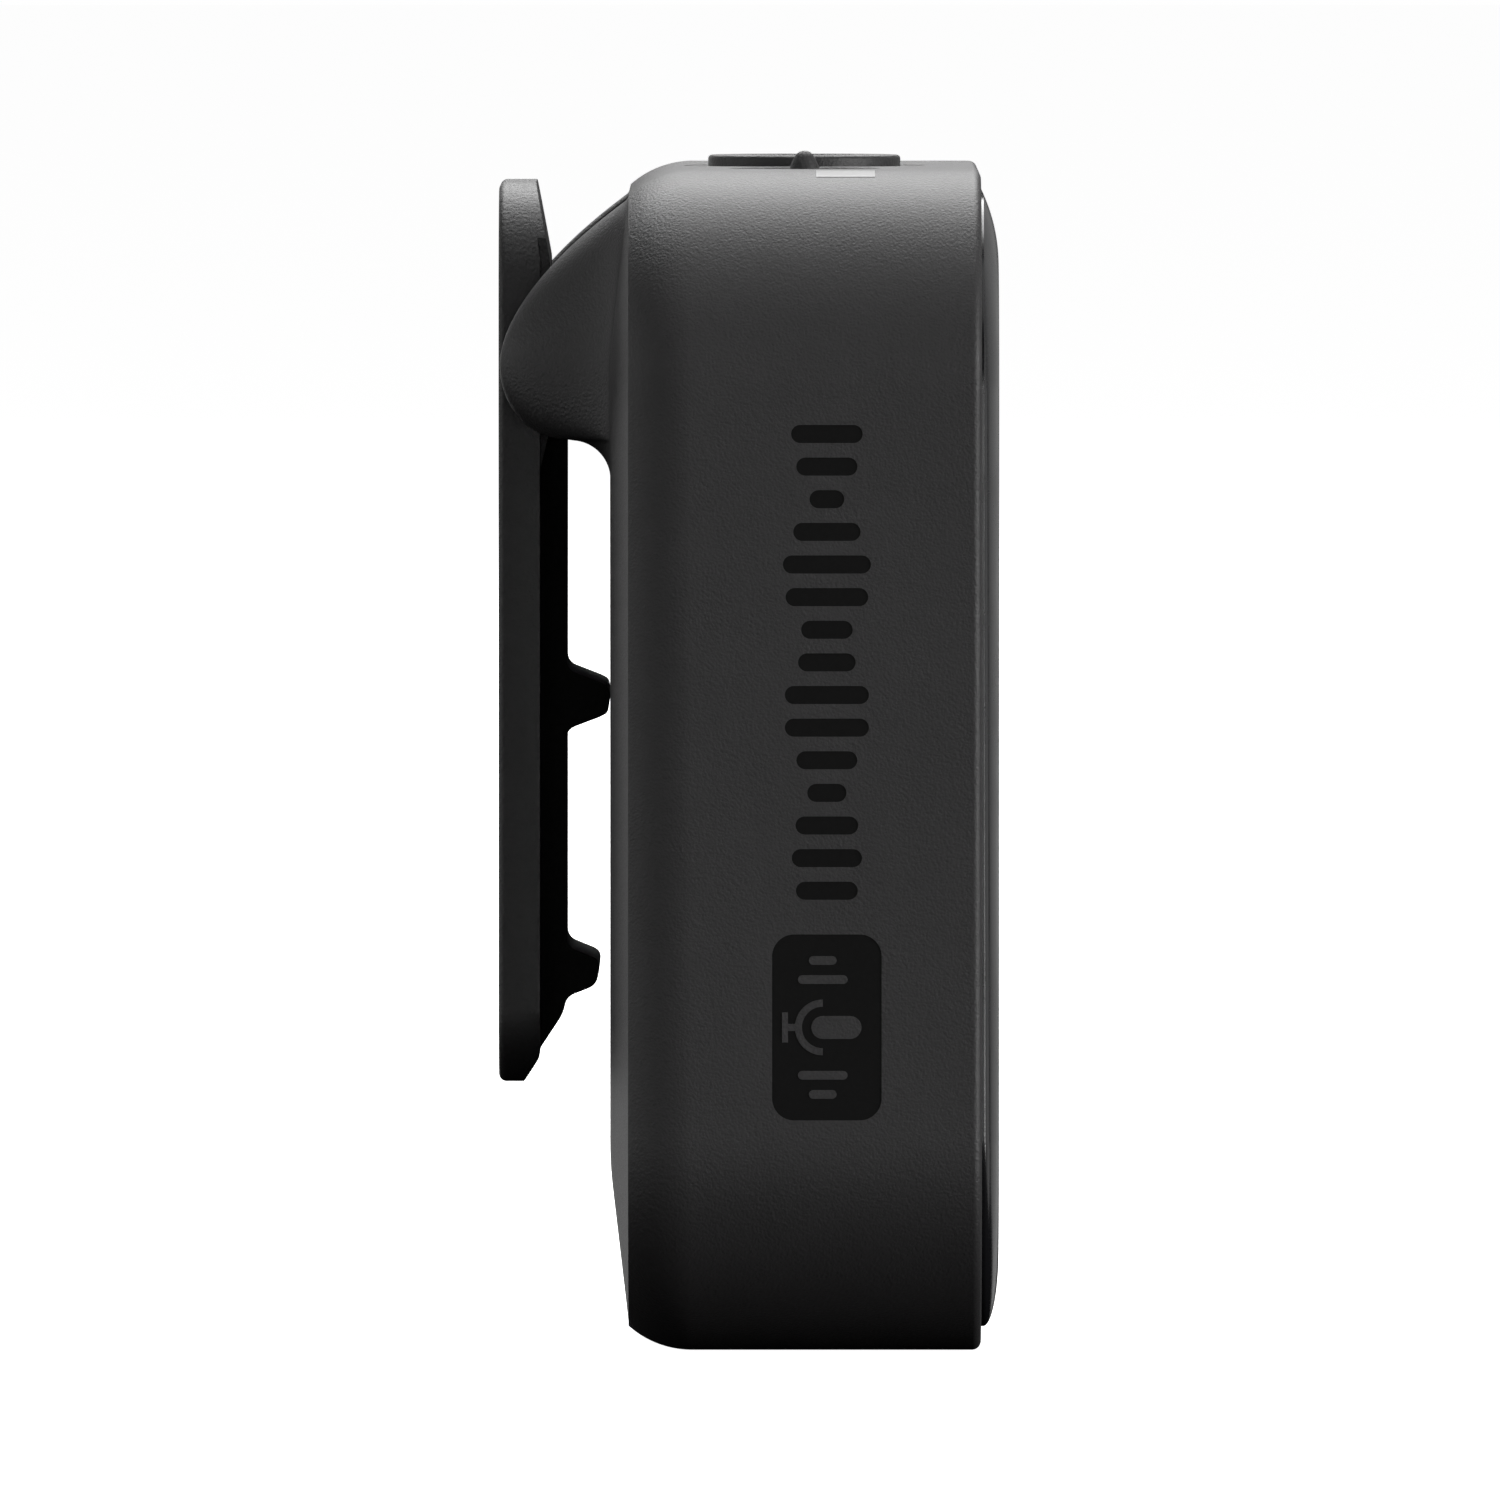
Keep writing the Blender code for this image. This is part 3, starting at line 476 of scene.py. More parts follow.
def clear_plastic(name):
    """A clear moulding with a faint flow pattern."""
    material, tree, shader, point = start_material(name, ior=1.49, Transmission_Weight=0.85)
    flow = noise(tree, point, 0.8, 2.0)
    base = blend_colours(tree, flow, (0.80, 0.83, 0.86), (0.92, 0.94, 0.96))
    tree.links.new(base, shader.inputs["Base Color"])
    tree.links.new(remap(tree, flow, 0.3, 0.7, 0.08, 0.18), shader.inputs["Roughness"])
    return material


def make_materials():
    """Every finish by its slot, with the inks."""
    return {
        "case_plastic": moulded("case_plastic", (0.0235, 0.0228, 0.0235), 0.52, 0.115, 0.020),
        "clip_plastic": moulded("clip_plastic", (0.0185, 0.0182, 0.0188), 0.52, 0.14, 0.023),
        "grip_rubber": moulded("grip_rubber", (0.004, 0.004, 0.004), 0.85, 0.20, 0.008, 1.1, 0.2),
        "panel_gloss": polished("panel_gloss", (0.009, 0.009, 0.010), 0.24),
        "steel": metal("steel", (0.60, 0.60, 0.61), 0.24),
        "contact_brass": metal("contact_brass", (0.78, 0.58, 0.28), 0.26),
        "board_laminate": laminate("board_laminate"),
        "black_resin": moulded("black_resin", (0.016, 0.016, 0.018), 0.48, 0.12, 0.004),
        "pale_plastic": moulded("pale_plastic", (0.66, 0.65, 0.61), 0.45, 0.25, 0.004, 1.05),
        "clear_plastic": clear_plastic("clear_plastic"),
        "bright_foil": metal("bright_foil", (0.66, 0.67, 0.69), 0.30, (1.0, 3.0, 1.0)),
        "seal_rubber": moulded("seal_rubber", (0.010, 0.010, 0.010), 0.82, 0.15, 0.010, 1.1, 0.3),
        "red_sleeve": moulded("red_sleeve", (0.42, 0.022, 0.018), 0.45, 0.20, 0.004, 1.1),
        "dark_ink": moulded("dark_ink", (0.006, 0.006, 0.006), 0.75, 0.22, 0.006, 1.0, 0.12),
        "pale_ink": moulded("pale_ink", (0.20, 0.20, 0.20), 0.50, 0.22, 0.006, 1.0),
    }


# Case


def housing_section():
    """The wall as (y, inset) pairs, from the front recess over the outside to the inside."""
    edge_centre = (RIM_Y + RIM_EDGE_RADIUS, RIM_EDGE_RADIUS)
    fillet_centre = (REAR_FILLET_Y, REAR_FILLET_RADIUS)
    fillet_end = degrees(asin(CREASE_INSET / REAR_FILLET_RADIUS - 1))
    pocket_inset = COVER_INSET - 0.06
    return [
        (RECESS_Y, RECESS_INSET),
        *arc((RIM_Y + 0.08, RECESS_INSET - 0.08), 0.08, 90, 180, 3),
        *arc(edge_centre, RIM_EDGE_RADIUS, 180, 270, 8),
        *arc(fillet_centre, REAR_FILLET_RADIUS, -90, fillet_end, 18),
        (CREASE_Y, pocket_inset),
        (LEDGE_Y, pocket_inset),
        (LEDGE_Y, LEDGE_INSET),
        (LEDGE_Y - 0.8, LEDGE_INSET),
        (LEDGE_Y - 1.6, WALL),
        (FRONT_WALL_Y + 0.4, WALL),
        (FRONT_WALL_Y, WALL + 0.4),
    ]


def print_wave(housing, ink):
    """Sink a wave of round-ended bars into the left side and ink it."""
    bars = []
    side_x = -CASE_WIDTH / 2
    for number in range(WAVE_BARS):
        z = WAVE_LOW_Z + (WAVE_HIGH_Z - WAVE_LOW_Z) * number / (WAVE_BARS - 1)
        # The bars swell and shrink as the level of a voice does.
        half = 0.30 + 0.85 * abs(sin(0.71 * number + 0.9)) * (1 - 0.25 * cos(0.4 * number))
        outline = arc((PRINT_Y + half, z), WAVE_BAR_RADIUS, -90, 90, 12)
        outline += arc((PRINT_Y - half, z), WAVE_BAR_RADIUS, 90, 270, 12)
        bars.append(prism("X", outline, side_x - CUT, side_x + PRINT_DEPTH))
    combine(housing, "DIFFERENCE", bars, ink)


def pictogram_outlines():
    """A microphone between two pairs of bars as (up, along) outlines about the badge's middle."""
    capsule = arc((0.85, 0), 0.42, -90, 90, 12) + arc((-0.15, 0), 0.42, 90, 270, 12)
    cradle = arc((-0.15, 0), 1.02, 90, 270, 24) + arc((-0.15, 0), 0.76, 270, 90, 24)
    stand = [(-1.10, 0.13), (-1.42, 0.13), (-1.42, 0.55), (-1.64, 0.55),
             (-1.64, -0.55), (-1.42, -0.55), (-1.42, -0.13), (-1.10, -0.13)]
    outlines = [capsule, cradle, stand]
    for along, half in ((1.75, 0.75), (2.45, 0.35)):
        for side in (-1, 1):
            outlines.append(
                arc((half - 0.15, side * along), 0.16, -90, 90, 8)
                + arc((-half - 0.15, side * along), 0.16, 90, 270, 8)
            )
    return outlines


def print_badge(housing, ink):
    """Sink an inked badge and leave the pictogram standing in it."""
    side_x = -CASE_WIDTH / 2
    centre = (PRINT_Y, BADGE_Z)
    badge = loft([
        rounded_ring("X", x, centre, BADGE_HALF_SIZE, BADGE_CORNER, 16)
        for x in (side_x - CUT, side_x + PRINT_DEPTH)
    ])
    combine(housing, "DIFFERENCE", [badge], ink)
    combine(housing, "UNION", [
        prism("X", [(PRINT_Y - up, BADGE_Z + along) for up, along in outline], side_x, side_x + 0.1)
        for outline in pictogram_outlines()
    ])


def hole_with_lip(centre, radius, lip=0.10):
    """A cutter for a hole through the top wall, with a small chamfer at its mouth."""
    top = CASE_HEIGHT
    profile = (
        (radius, top - WALL - 0.3), (radius, top - lip), (radius + lip, top), (radius + lip, top + CUT)
    )
    return turned("Z", centre, profile, 72)


def make_housing(materials):
    """The moulded tub with everything that is cut into it."""
    housing = new_mesh_object("case_shell", loft([case_ring(y, i) for y, i in housing_section()]))
    housing.data.materials.append(materials["case_plastic"])
    inside_y = FRONT_WALL_Y - 0.2
    combine(housing, "UNION", [
        *(turned("Y", p, ((2.2, inside_y), (2.2, -6.05)), 40) for p in POST_PLACES),
        *(turned("Y", p, ((1.8, inside_y), (1.8, -5.25)), 40) for p in STANDOFF_PLACES),
    ])
    above = CASE_HEIGHT + CUT
    mic_centre = (0, TOP_PARTS_Y)
    head_hole = SCREW_HEAD_RADIUS + SCREW_HEAD_GAP
    dish = [(DISH_RADIUS - 0.35, DISH_Z), (DISH_RADIUS - 0.12, DISH_Z + 0.035),
            (DISH_RADIUS, CASE_HEIGHT), (DISH_RADIUS, above)]
    usb_mouth = [
        rounded_ring("Z", z, USB_CENTRE, (USB_HALF_SIZE[0] + grow, USB_HALF_SIZE[1] + grow),
                     USB_CORNER + grow)
        for z, grow in ((-CUT, 0.40), (0, 0.40), (0.18, 0.22), (WALL + 0.3, 0.22))
    ]
    combine(housing, "DIFFERENCE", [
        turned("Z", mic_centre, dish, 96),
        turned("Z", mic_centre, ((3.0, CASE_HEIGHT - WALL - 0.3), (3.0, above)), 64),
        hole_with_lip((BUTTON_X, TOP_PARTS_Y), BUTTON_RADIUS + 0.1),
        hole_with_lip(JACK, JACK_RADIUS + 0.1),
        loft(usb_mouth),
        *(turned("Y", p, ((0.85, RECESS_Y - CUT), (0.85, -5)), 32) for p in POST_PLACES),
        *(turned("Y", p, ((head_hole, RECESS_Y - CUT), (head_hole, RECESS_Y + 0.6)), 40)
          for p in POST_PLACES),
        *(turned("Y", p, ((0.55, FRONT_WALL_Y + 0.2), (0.55, -4)), 32) for p in STANDOFF_PLACES),
        *(turned("Y", p, ((WINDOW_RADIUS, RECESS_Y - CUT), (WINDOW_RADIUS, FRONT_WALL_Y + CUT)), 32)
          for p in LED_PLACES),
    ])
    print_wave(housing, materials["dark_ink"])
    print_badge(housing, materials["dark_ink"])
    show(housing, "case", "case_plastic", materials["case_plastic"], "housing")


def pillow_y(share, z):
    """The panel's face at a share of the way across its soft edge."""
    power = PILLOW_POWER_BOTTOM + (PILLOW_POWER_TOP - PILLOW_POWER_BOTTOM) * z / CASE_HEIGHT
    return PANEL_SIDE_Y + (FRONT_Y - PANEL_SIDE_Y) * (1 - (1 - share) ** 2) ** power


def make_front_panel(materials):
    """The glossy pillowed plate with its light pipe windows."""
    rings = [case_ring(PANEL_BACK_Y, PANEL_INSET + 0.05), case_ring(PANEL_BACK_Y - 0.05, PANEL_INSET)]
    steps = 28
    for step in range(steps + 1):
        share = 1 - cos(pi / 2 * step / steps)
        ring = case_ring(FRONT_Y, PANEL_INSET + PILLOW_WIDTH * share)
        rings.append([(x, pillow_y(share, z), z) for x, _, z in ring])
    panel = new_mesh_object("front_plate", loft(rings))
    lip = 0.07
    window = (
        (WINDOW_RADIUS + lip, FRONT_Y - CUT), (WINDOW_RADIUS + lip, FRONT_Y),
        (WINDOW_RADIUS, FRONT_Y + lip), (WINDOW_RADIUS, FRONT_WALL_Y),
    )
    combine(panel, "DIFFERENCE", [turned("Y", p, window, 40) for p in LED_PLACES])
    show(panel, "case", "panel_gloss", materials["panel_gloss"], "front_panel")


# Rear cover


def smooth_min(a, b, blend):
    """The smaller of two values, with a rounded change from one to the other."""
    share = min(max(0.5 + 0.5 * (b - a) / blend, 0), 1)
    return b * (1 - share) + a * share - blend * share * (1 - share)


def cover_inset(x, z):
    """How far a point lies inside the cover's outline."""
    radius = CORNER_RADIUS - COVER_INSET
    across = abs(x) - (CASE_WIDTH / 2 - CORNER_RADIUS)
    along = abs(z - CASE_HEIGHT / 2) - (CASE_HEIGHT / 2 - CORNER_RADIUS)
    outside = hypot(max(across, 0), max(along, 0)) + min(max(across, along), 0)
    return max(radius - outside, 0)


def border_height(x, z):
    """The sloped border and the flat platform, without the ears."""
    rise = PLATFORM_Y - CREASE_Y
    slope = rise * cover_inset(x, z) / SLOPE_WIDTH
    return CREASE_Y + max(smooth_min(slope, rise, SLOPE_BLEND), 0)


def ear_profile():
    """The ears' side outline as (y, z) points: concave foot, round nose, falling top."""
    foot = arc((PLATFORM_Y + EAR_FOOT_RADIUS, EAR_FOOT_Z), EAR_FOOT_RADIUS, 180, 94, 20)
    nose = [
        (EAR_NOSE_Y + EAR_NOSE_REACH * a, EAR_NOSE_Z + EAR_NOSE_DROP * b)
        for a, b in arc((0, 0), 1, -88, 0, 32)
    ]
    end_z = CASE_HEIGHT - COVER_INSET
    peak_y = EAR_NOSE_Y + EAR_NOSE_REACH
    top = []
    steps = 36
    for step in range(1, steps + 1):
        z = EAR_NOSE_Z + (end_z - EAR_NOSE_Z) * step / steps
        fall = ((z - EAR_NOSE_Z) / EAR_TOP_LENGTH) ** EAR_TOP_POWER
        top.append((CREASE_Y + (peak_y - CREASE_Y) * (1 - fall), z))
    return foot + nose + top


def ear_share(x):
    """The ears' height at x as a share of their full height: a flank that flares out."""
    t = (abs(x) - EAR_FLANK_START) / (EAR_FLANK_END - EAR_FLANK_START)
    t = min(max(t, 0), 1)
    return (1 - t) ** EAR_FLANK_POWER * (1 + EAR_FLANK_POWER * t)


def cover_columns():
    """(x, drop, share of the way down to the slot's floor) for each column, from side to side."""
    radius = CORNER_RADIUS - COVER_INSET
    corner = [x for x, _ in arc((CASE_WIDTH / 2 - CORNER_RADIUS, 0), radius, 0, 84, 26)]
    straight = CASE_WIDTH / 2 - CORNER_RADIUS
    half = [(x, 0, 0) for x in corner]
    half += [(straight - (straight - EAR_FLANK_START) * step / 24, 0, 0) for step in range(25)]
    half.append((10.2, 0, 0))
    for step in range(7):
        angle = pi / 2 * step / 6
        x = SLOT_HALF_WIDTH + EAR_EDGE_RADIUS * (1 - sin(angle))
        half.append((x, EAR_EDGE_RADIUS * (1 - cos(angle)), 0))
    half += [(SLOT_HALF_WIDTH, EAR_EDGE_RADIUS, step / 4) for step in range(1, 5)]
    half += [(x, 0, 1) for x in (8.6, 6.5, 3.5)]
    return [(-x, drop, share) for x, drop, share in half] + half[::-1]


def cover_rows():
    """Z stations with the ears' height there: the lower border, the platform and the ears."""
    low = COVER_INSET
    rows = [(low + (CORNER_RADIUS - low) * step / 26, 0) for step in range(27)]
    rows += [(z, 0) for z in (10, 13, 16, 19, 22, 25, 28, 30, 31.2)]
    rows += [(z, y) for y, z in ear_profile()]
    return rows


def slot_floor(x, z):
    """The floor between the ears, which starts with a short ramp."""
    share = min(max((z - SLOT_FOOT_Z) / 0.5, 0), 1)
    level = border_height(x, z)
    return level + (min(level, SLOT_FLOOR_Y) - level) * share


def cover_point(column, row):
    """A point of the outer face. Rows close up where the outline's corners cut them short."""
    x, drop, share_down = column
    row_z, ear_y = row
    half = CASE_HEIGHT / 2
    straight = half - CORNER_RADIUS
    radius = CORNER_RADIUS - COVER_INSET
    across = max(abs(x) - (CASE_WIDTH / 2 - CORNER_RADIUS), 0)
    share = sqrt(max(radius ** 2 - across ** 2, 0)) / radius
    height = row_z - half
    beyond = max(abs(height) - straight, 0)
    if beyond:
        height = (straight + beyond * share) * (1 if height > 0 else -1)
    z = half + height
    level = border_height(x, z)
    y = level + max(ear_y - border_height(0, z), 0) * ear_share(x)
    if drop or share_down:
        floor = slot_floor(x, z)
        y = max(y - drop, floor)
        y += (floor - y) * share_down
    return x, y, z


def cover_body():
    """The plate between its flat back and its shaped outer face."""
    body = bmesh.new()
    columns = cover_columns()
    rows = cover_rows()
    outer = [[body.verts.new(cover_point(column, row)) for row in rows] for column in columns]
    last_column = len(columns) - 1
    last_row = len(rows) - 1
    for i in range(last_column):
        for j in range(last_row):
            body.faces.new((outer[i][j], outer[i + 1][j], outer[i + 1][j + 1], outer[i][j + 1]))
    edge = [outer[0][j] for j in range(last_row + 1)]
    edge += [outer[i][last_row] for i in range(1, last_column + 1)]
    edge += [outer[last_column][j] for j in range(last_row - 1, -1, -1)]
    edge += [outer[i][0] for i in range(last_column - 1, 0, -1)]
    inner = [body.verts.new((v.co.x, COVER_BACK_Y, v.co.z)) for v in edge]
    for i, low in enumerate(edge):
        j = (i + 1) % len(edge)
        body.faces.new((low, edge[j], inner[j], inner[i]))
    body.faces.new(inner)
    bmesh.ops.remove_doubles(body, verts=body.verts, dist=1e-5)
    bmesh.ops.recalc_face_normals(body, faces=body.faces)
    return body


def make_rear_cover(materials):
    """The cover with its ears, hinge bores and screw posts."""
    cover = new_mesh_object("back_cover", cover_body())
    post = ((1.8, -6.0), (1.8, COVER_BACK_Y + 0.3))
    combine(cover, "UNION", [turned("Y", p, post, 40) for p in POST_PLACES])
    bore_end = PIN_HALF_LENGTH + 0.1
    combine(cover, "DIFFERENCE", [
        turned("X", HINGE, ((PIN_HOLE_RADIUS, -bore_end), (PIN_HOLE_RADIUS, bore_end)), 48),
        *(turned("Y", p, ((0.75, -7), (0.75, -1.0)), 32) for p in POST_PLACES),
    ])
    show(cover, "case", "case_plastic", materials["case_plastic"], "rear_cover")


# Clip


def lever_outline():
    """The plate's side outline as (y, z) points, past the limits that trim it."""
    foot = [
        (CLIP_INNER_Y, 20.0), (CLIP_INNER_Y, CLIP_FOOT_Z + 0.97),
        (CLIP_INNER_Y + 1.22, CLIP_FOOT_Z - CUT), (CLIP_OUTER_Y + CUT, CLIP_FOOT_Z - CUT),
    ]
    inner_top = [
        (CLIP_OUTER_Y + CUT, CLIP_TOP_Z + CUT), (CLIP_INNER_Y + 0.62, CLIP_TOP_Z + CUT),
        (CLIP_INNER_Y, 40.1), (CLIP_INNER_Y, 30.0),
    ]
    return rounded_path(foot, 0.2) + rounded_path(inner_top, 0.16)


def rib_outline():
    """The side outline of the lever's thicker middle, from under the hinge to the top."""
    inner = [
        (CLIP_INNER_Y, RIB_FOOT_Z), (RIB_INNER_Y, RIB_FOOT_Z + 1.6), (RIB_INNER_Y, 39.9),
        (RIB_INNER_Y + 0.71, CLIP_TOP_Z + CUT), (CLIP_INNER_Y + 0.92, CLIP_TOP_Z + CUT),
    ]
    return [
        (CLIP_INNER_Y + 0.2, RIB_FOOT_Z), *rounded_path(inner, 0.16), (CLIP_INNER_Y + 0.2, 40.1)
    ]


def lever_limits():
    """A rounded column with soft outer edges, which gives the lever its outline from behind."""
    middle = (0, (CLIP_FOOT_Z + CLIP_TOP_Z) / 2)
    half_height = (CLIP_TOP_Z - CLIP_FOOT_Z) / 2
    edge_centre = (CLIP_OUTER_Y - CLIP_EDGE_RADIUS, CLIP_EDGE_RADIUS)
    sections = [(CLIP_INNER_Y - CUT, 0), *arc(edge_centre, CLIP_EDGE_RADIUS, -90, 0, 8)]
    return loft([
        rounded_ring(
            "Y", y, middle, (CLIP_HALF_WIDTH - inset, half_height - inset),
            CLIP_CORNER_RADIUS - inset, 20, CLIP_FOOT_RADIUS - inset,
        )
        for y, inset in sections
    ])


def make_lever(materials):
    """The clip plate with its knuckles, their bore and the pocket over the coil."""
    plate = prism("X", lever_outline(), -CLIP_HALF_WIDTH - CUT, CLIP_HALF_WIDTH + CUT)
    lever = new_mesh_object("clip_plate", plate)
    combine(lever, "UNION", [prism("X", rib_outline(), -RIB_HALF_WIDTH, RIB_HALF_WIDTH)])
    combine(lever, "INTERSECT", [lever_limits()])
    soften(lever, 0.12)
    knuckle = [
        *arc(HINGE, KNUCKLE_RADIUS, 90, 270, 32),
        (CLIP_INNER_Y + 0.3, HINGE[1] - KNUCKLE_RADIUS),
        (CLIP_INNER_Y + 0.3, HINGE[1] + KNUCKLE_RADIUS),
    ]
    outer_x = CLIP_HALF_WIDTH - 0.16
    combine(lever, "UNION", [
        prism("X", knuckle, -outer_x, -KNUCKLE_INNER_X),
        prism("X", knuckle, KNUCKLE_INNER_X, outer_x),
    ])
    hole_end = CLIP_HALF_WIDTH + CUT
    coil_room = COIL_RADIUS + WIRE_RADIUS + 0.25
    combine(lever, "DIFFERENCE", [
        turned("X", HINGE, ((PIN_HOLE_RADIUS, -hole_end), (PIN_HOLE_RADIUS, hole_end)), 48),
        turned("X", HINGE, ((coil_room, -3.0), (coil_room, 3.0)), 48),
    ])
    show(lever, "clip", "clip_plastic", materials["clip_plastic"], "clip_lever")


def grip_outline():
    """The insert's side outline as (y, z) points, with its two teeth."""
    back_y = CLIP_INNER_Y + 0.05
    lower_tooth = [(GRIP_INNER_Y, 12.71), (5.60, 13.13), (5.43, 14.06), (GRIP_INNER_Y, 14.58)]
    upper_tooth = [
        (GRIP_INNER_Y, 22.58), (5.30, 23.11), (5.13, 23.30), (5.13, 24.10), (5.30, 24.28),
        (GRIP_INNER_Y, 24.82),
    ]
    top = [
        (GRIP_INNER_Y, 33.8), (RIB_INNER_Y - 0.30, 34.1), (RIB_INNER_Y + 0.05, 34.1),
        (RIB_INNER_Y + 0.05, RIB_FOOT_Z + 1.6),
    ]
    corners = ((back_y, 10.74), (6.82, 12.10), *lower_tooth, *upper_tooth, *top)
    return [*rounded_path(corners, 0.34), (back_y, RIB_FOOT_Z)]


def make_grip(materials):
    """The soft insert with its teeth."""
    body = prism("X", grip_outline(), -GRIP_HALF_WIDTH, GRIP_HALF_WIDTH)
    grip = new_mesh_object("clip_pad", body)
    soften(grip, 0.06, 2, 60)
    show(grip, "clip", "grip_rubber", materials["grip_rubber"], "clip_grip")


def make_hinge(materials):
    """The pin, the coil with its fixed leg, and the leg that follows the lever."""
    end = PIN_HALF_LENGTH
    pin = ((0.6, -end), (PIN_RADIUS, 0.15 - end), (PIN_RADIUS, end - 0.15), (0.6, end))
    pin = new_mesh_object("hinge_pin", turned("X", HINGE, pin, 48))
    show(pin, "case", "steel", materials["steel"], "clip_pin")
    start_x = -COIL_PITCH * COIL_TURNS / 2
    floor_y = SLOT_FLOOR_Y + WIRE_RADIUS + 0.05
    coil = [(start_x, floor_y, 33.3), (start_x, floor_y + 0.03, 33.9)]
    steps = 36 * COIL_TURNS
    for step in range(steps + 1):
        angle = pi - 2 * pi * COIL_TURNS * step / steps
        coil.append((
            start_x + COIL_PITCH * COIL_TURNS * step / steps,
            HINGE[0] + COIL_RADIUS * cos(angle),
            HINGE[1] + COIL_RADIUS * sin(angle),
        ))
    spring = new_mesh_object("spring_coil", tube(coil, WIRE_RADIUS))
    show(spring, "case", "steel", materials["steel"], "clip_spring")
    lever_y = RIB_INNER_Y - WIRE_RADIUS - 0.04
    leg = [
        coil[-1], (-start_x, coil[-1][1] + 0.35, 37.0), (-start_x, lever_y - 0.12, 38.5),
        (-start_x, lever_y, 39.2),
    ]
    leg = new_mesh_object("spring_leg", tube(leg, WIRE_RADIUS))
    show(leg, "clip", "steel", materials["steel"])


# Parts in the top and bottom faces


def make_button(materials):
    """The power button with its raised pip."""
    pip = []
    for step in range(PIP_STEPS, 0, -1):
        share = step / PIP_STEPS
        pip.append((PIP_RADIUS * share ** 0.8, PIP_TOP_Z - (PIP_TOP_Z - BUTTON_TOP_Z) * share ** 2))
    cap = [
        (1.0, 39.75), (1.0, 41.4), (3.2, 41.4), (3.2, 42.0), (BUTTON_RADIUS, 42.0),
        *arc((BUTTON_RADIUS - 0.14, BUTTON_TOP_Z - 0.14), 0.14, 0, 90, 5),
        *pip,
    ]
    body = turned("Z", (BUTTON_X, TOP_PARTS_Y), cap, 72)
    button = new_mesh_object("button_cap", body)
    show(button, "button", "case_plastic", materials["case_plastic"], "power_button")


def grille_wires():
    """Wires of a plain weave that fills the microphone's opening."""
    pitch = 2 * MESH_RADIUS / MESH_WIRES
    wires = []
    for along_x in (True, False):
        for number in range(MESH_WIRES):
            offset = -MESH_RADIUS + pitch * (number + 0.5)
            half = sqrt(MESH_RADIUS ** 2 - offset ** 2)
            points = []
            steps = max(int(half * 2 / pitch * 4), 6)
            for step in range(steps + 1):
                run = -half + 2 * half * step / steps
                phase = pi * (run / pitch + number + (0 if along_x else 1))
                z = MESH_Z + 0.9 * MESH_WIRE_RADIUS * cos(phase)
                x, y = (run, offset) if along_x else (offset, run)
                points.append((x, TOP_PARTS_Y + y, z))
            wires.append(tube(points, MESH_WIRE_RADIUS, 6))
    return wires


def make_microphone(materials):
    """The raised ring and the woven mesh in it."""
    edge = 0.15
    low = DISH_Z + 0.03
    ring = [
        (2.9, 41.75), (2.9, low), (MIC_RADIUS - 0.04, low), (MIC_RADIUS, low + 0.04),
        *arc((MIC_RADIUS - edge, MIC_TOP_Z - edge), edge, 0, 90, 8),
        *arc((2.45, MIC_TOP_Z - 0.12), 0.12, 90, 170, 5),
        (2.27, 43.40), (1.2, 43.40), (1.2, 41.75),
    ]
    body = turned("Z", (0, TOP_PARTS_Y), ring, 128, closed=True)
    piece = new_mesh_object("microphone_ring", body)
    show(piece, "case", "case_plastic", materials["case_plastic"], "mic_ring")
    weave = bmesh.new()
    for wire in grille_wires():
        mesh = bpy.data.meshes.new("wire")
        wire.to_mesh(mesh)
        wire.free()
        weave.from_mesh(mesh)
        bpy.data.meshes.remove(mesh)
    piece = new_mesh_object("microphone_mesh", weave)
    show(piece, "case", "steel", materials["steel"], "mic_grille")


def make_sockets(materials):
    """The audio jack's collar and body, and the charging socket."""
    collar = [
        (JACK_RADIUS, 42.05), *arc((JACK_RADIUS - 0.1, 43.20), 0.1, 0, 90, 4),
        *arc((JACK_BORE_RADIUS + 0.2, 43.10), 0.2, 90, 180, 6), (JACK_BORE_RADIUS, 42.05),
    ]
    piece = new_mesh_object("jack_ring", turned("Z", JACK, collar, 80, closed=True))
    show(piece, "case", "black_resin", materials["black_resin"], "jack_collar")
    body = ((JACK_BORE_RADIUS, 29.4), (JACK_BORE_RADIUS, 42.0), (2.8, 42.0), (2.8, 28.6))
    piece = new_mesh_object("jack_barrel", turned("Z", JACK, body, 64))
    show(piece, "case", "black_resin", materials["black_resin"], "jack_body")
    inner = (USB_HALF_SIZE[0] - USB_SHEET, USB_HALF_SIZE[1] - USB_SHEET)
    middle = (USB_HALF_SIZE[0] - USB_SHEET / 2, USB_HALF_SIZE[1] - USB_SHEET / 2)
    shell = [
        rounded_ring("Z", 0.42, USB_CENTRE, USB_HALF_SIZE, USB_CORNER),
        rounded_ring("Z", 7.6, USB_CENTRE, USB_HALF_SIZE, USB_CORNER),
        rounded_ring("Z", 7.6, USB_CENTRE, inner, USB_CORNER - USB_SHEET),
        rounded_ring("Z", 0.42, USB_CENTRE, inner, USB_CORNER - USB_SHEET),
        rounded_ring("Z", 0.30, USB_CENTRE, middle, USB_CORNER - USB_SHEET / 2),
    ]
    piece = new_mesh_object("charging_shell", loft(shell, closed=True))
    show(piece, "case", "steel", materials["steel"], "usb_shell")
    base = (inner[0] - 0.06, inner[1] - 0.06)
    sections = ((7.5, base, 0.9), (6.4, base, 0.9), (6.4, (3.3, 0.35), 0.3), (1.15, (3.3, 0.35), 0.3),
                (1.0, (3.2, 0.2), 0.15))
    rings = [rounded_ring("Z", z, USB_CENTRE, size, radius) for z, size, radius in sections]
    piece = new_mesh_object("charging_tongue", loft(rings))
    show(piece, "case", "black_resin", materials["black_resin"], "usb_tongue")
    make_tongue_contacts(materials)


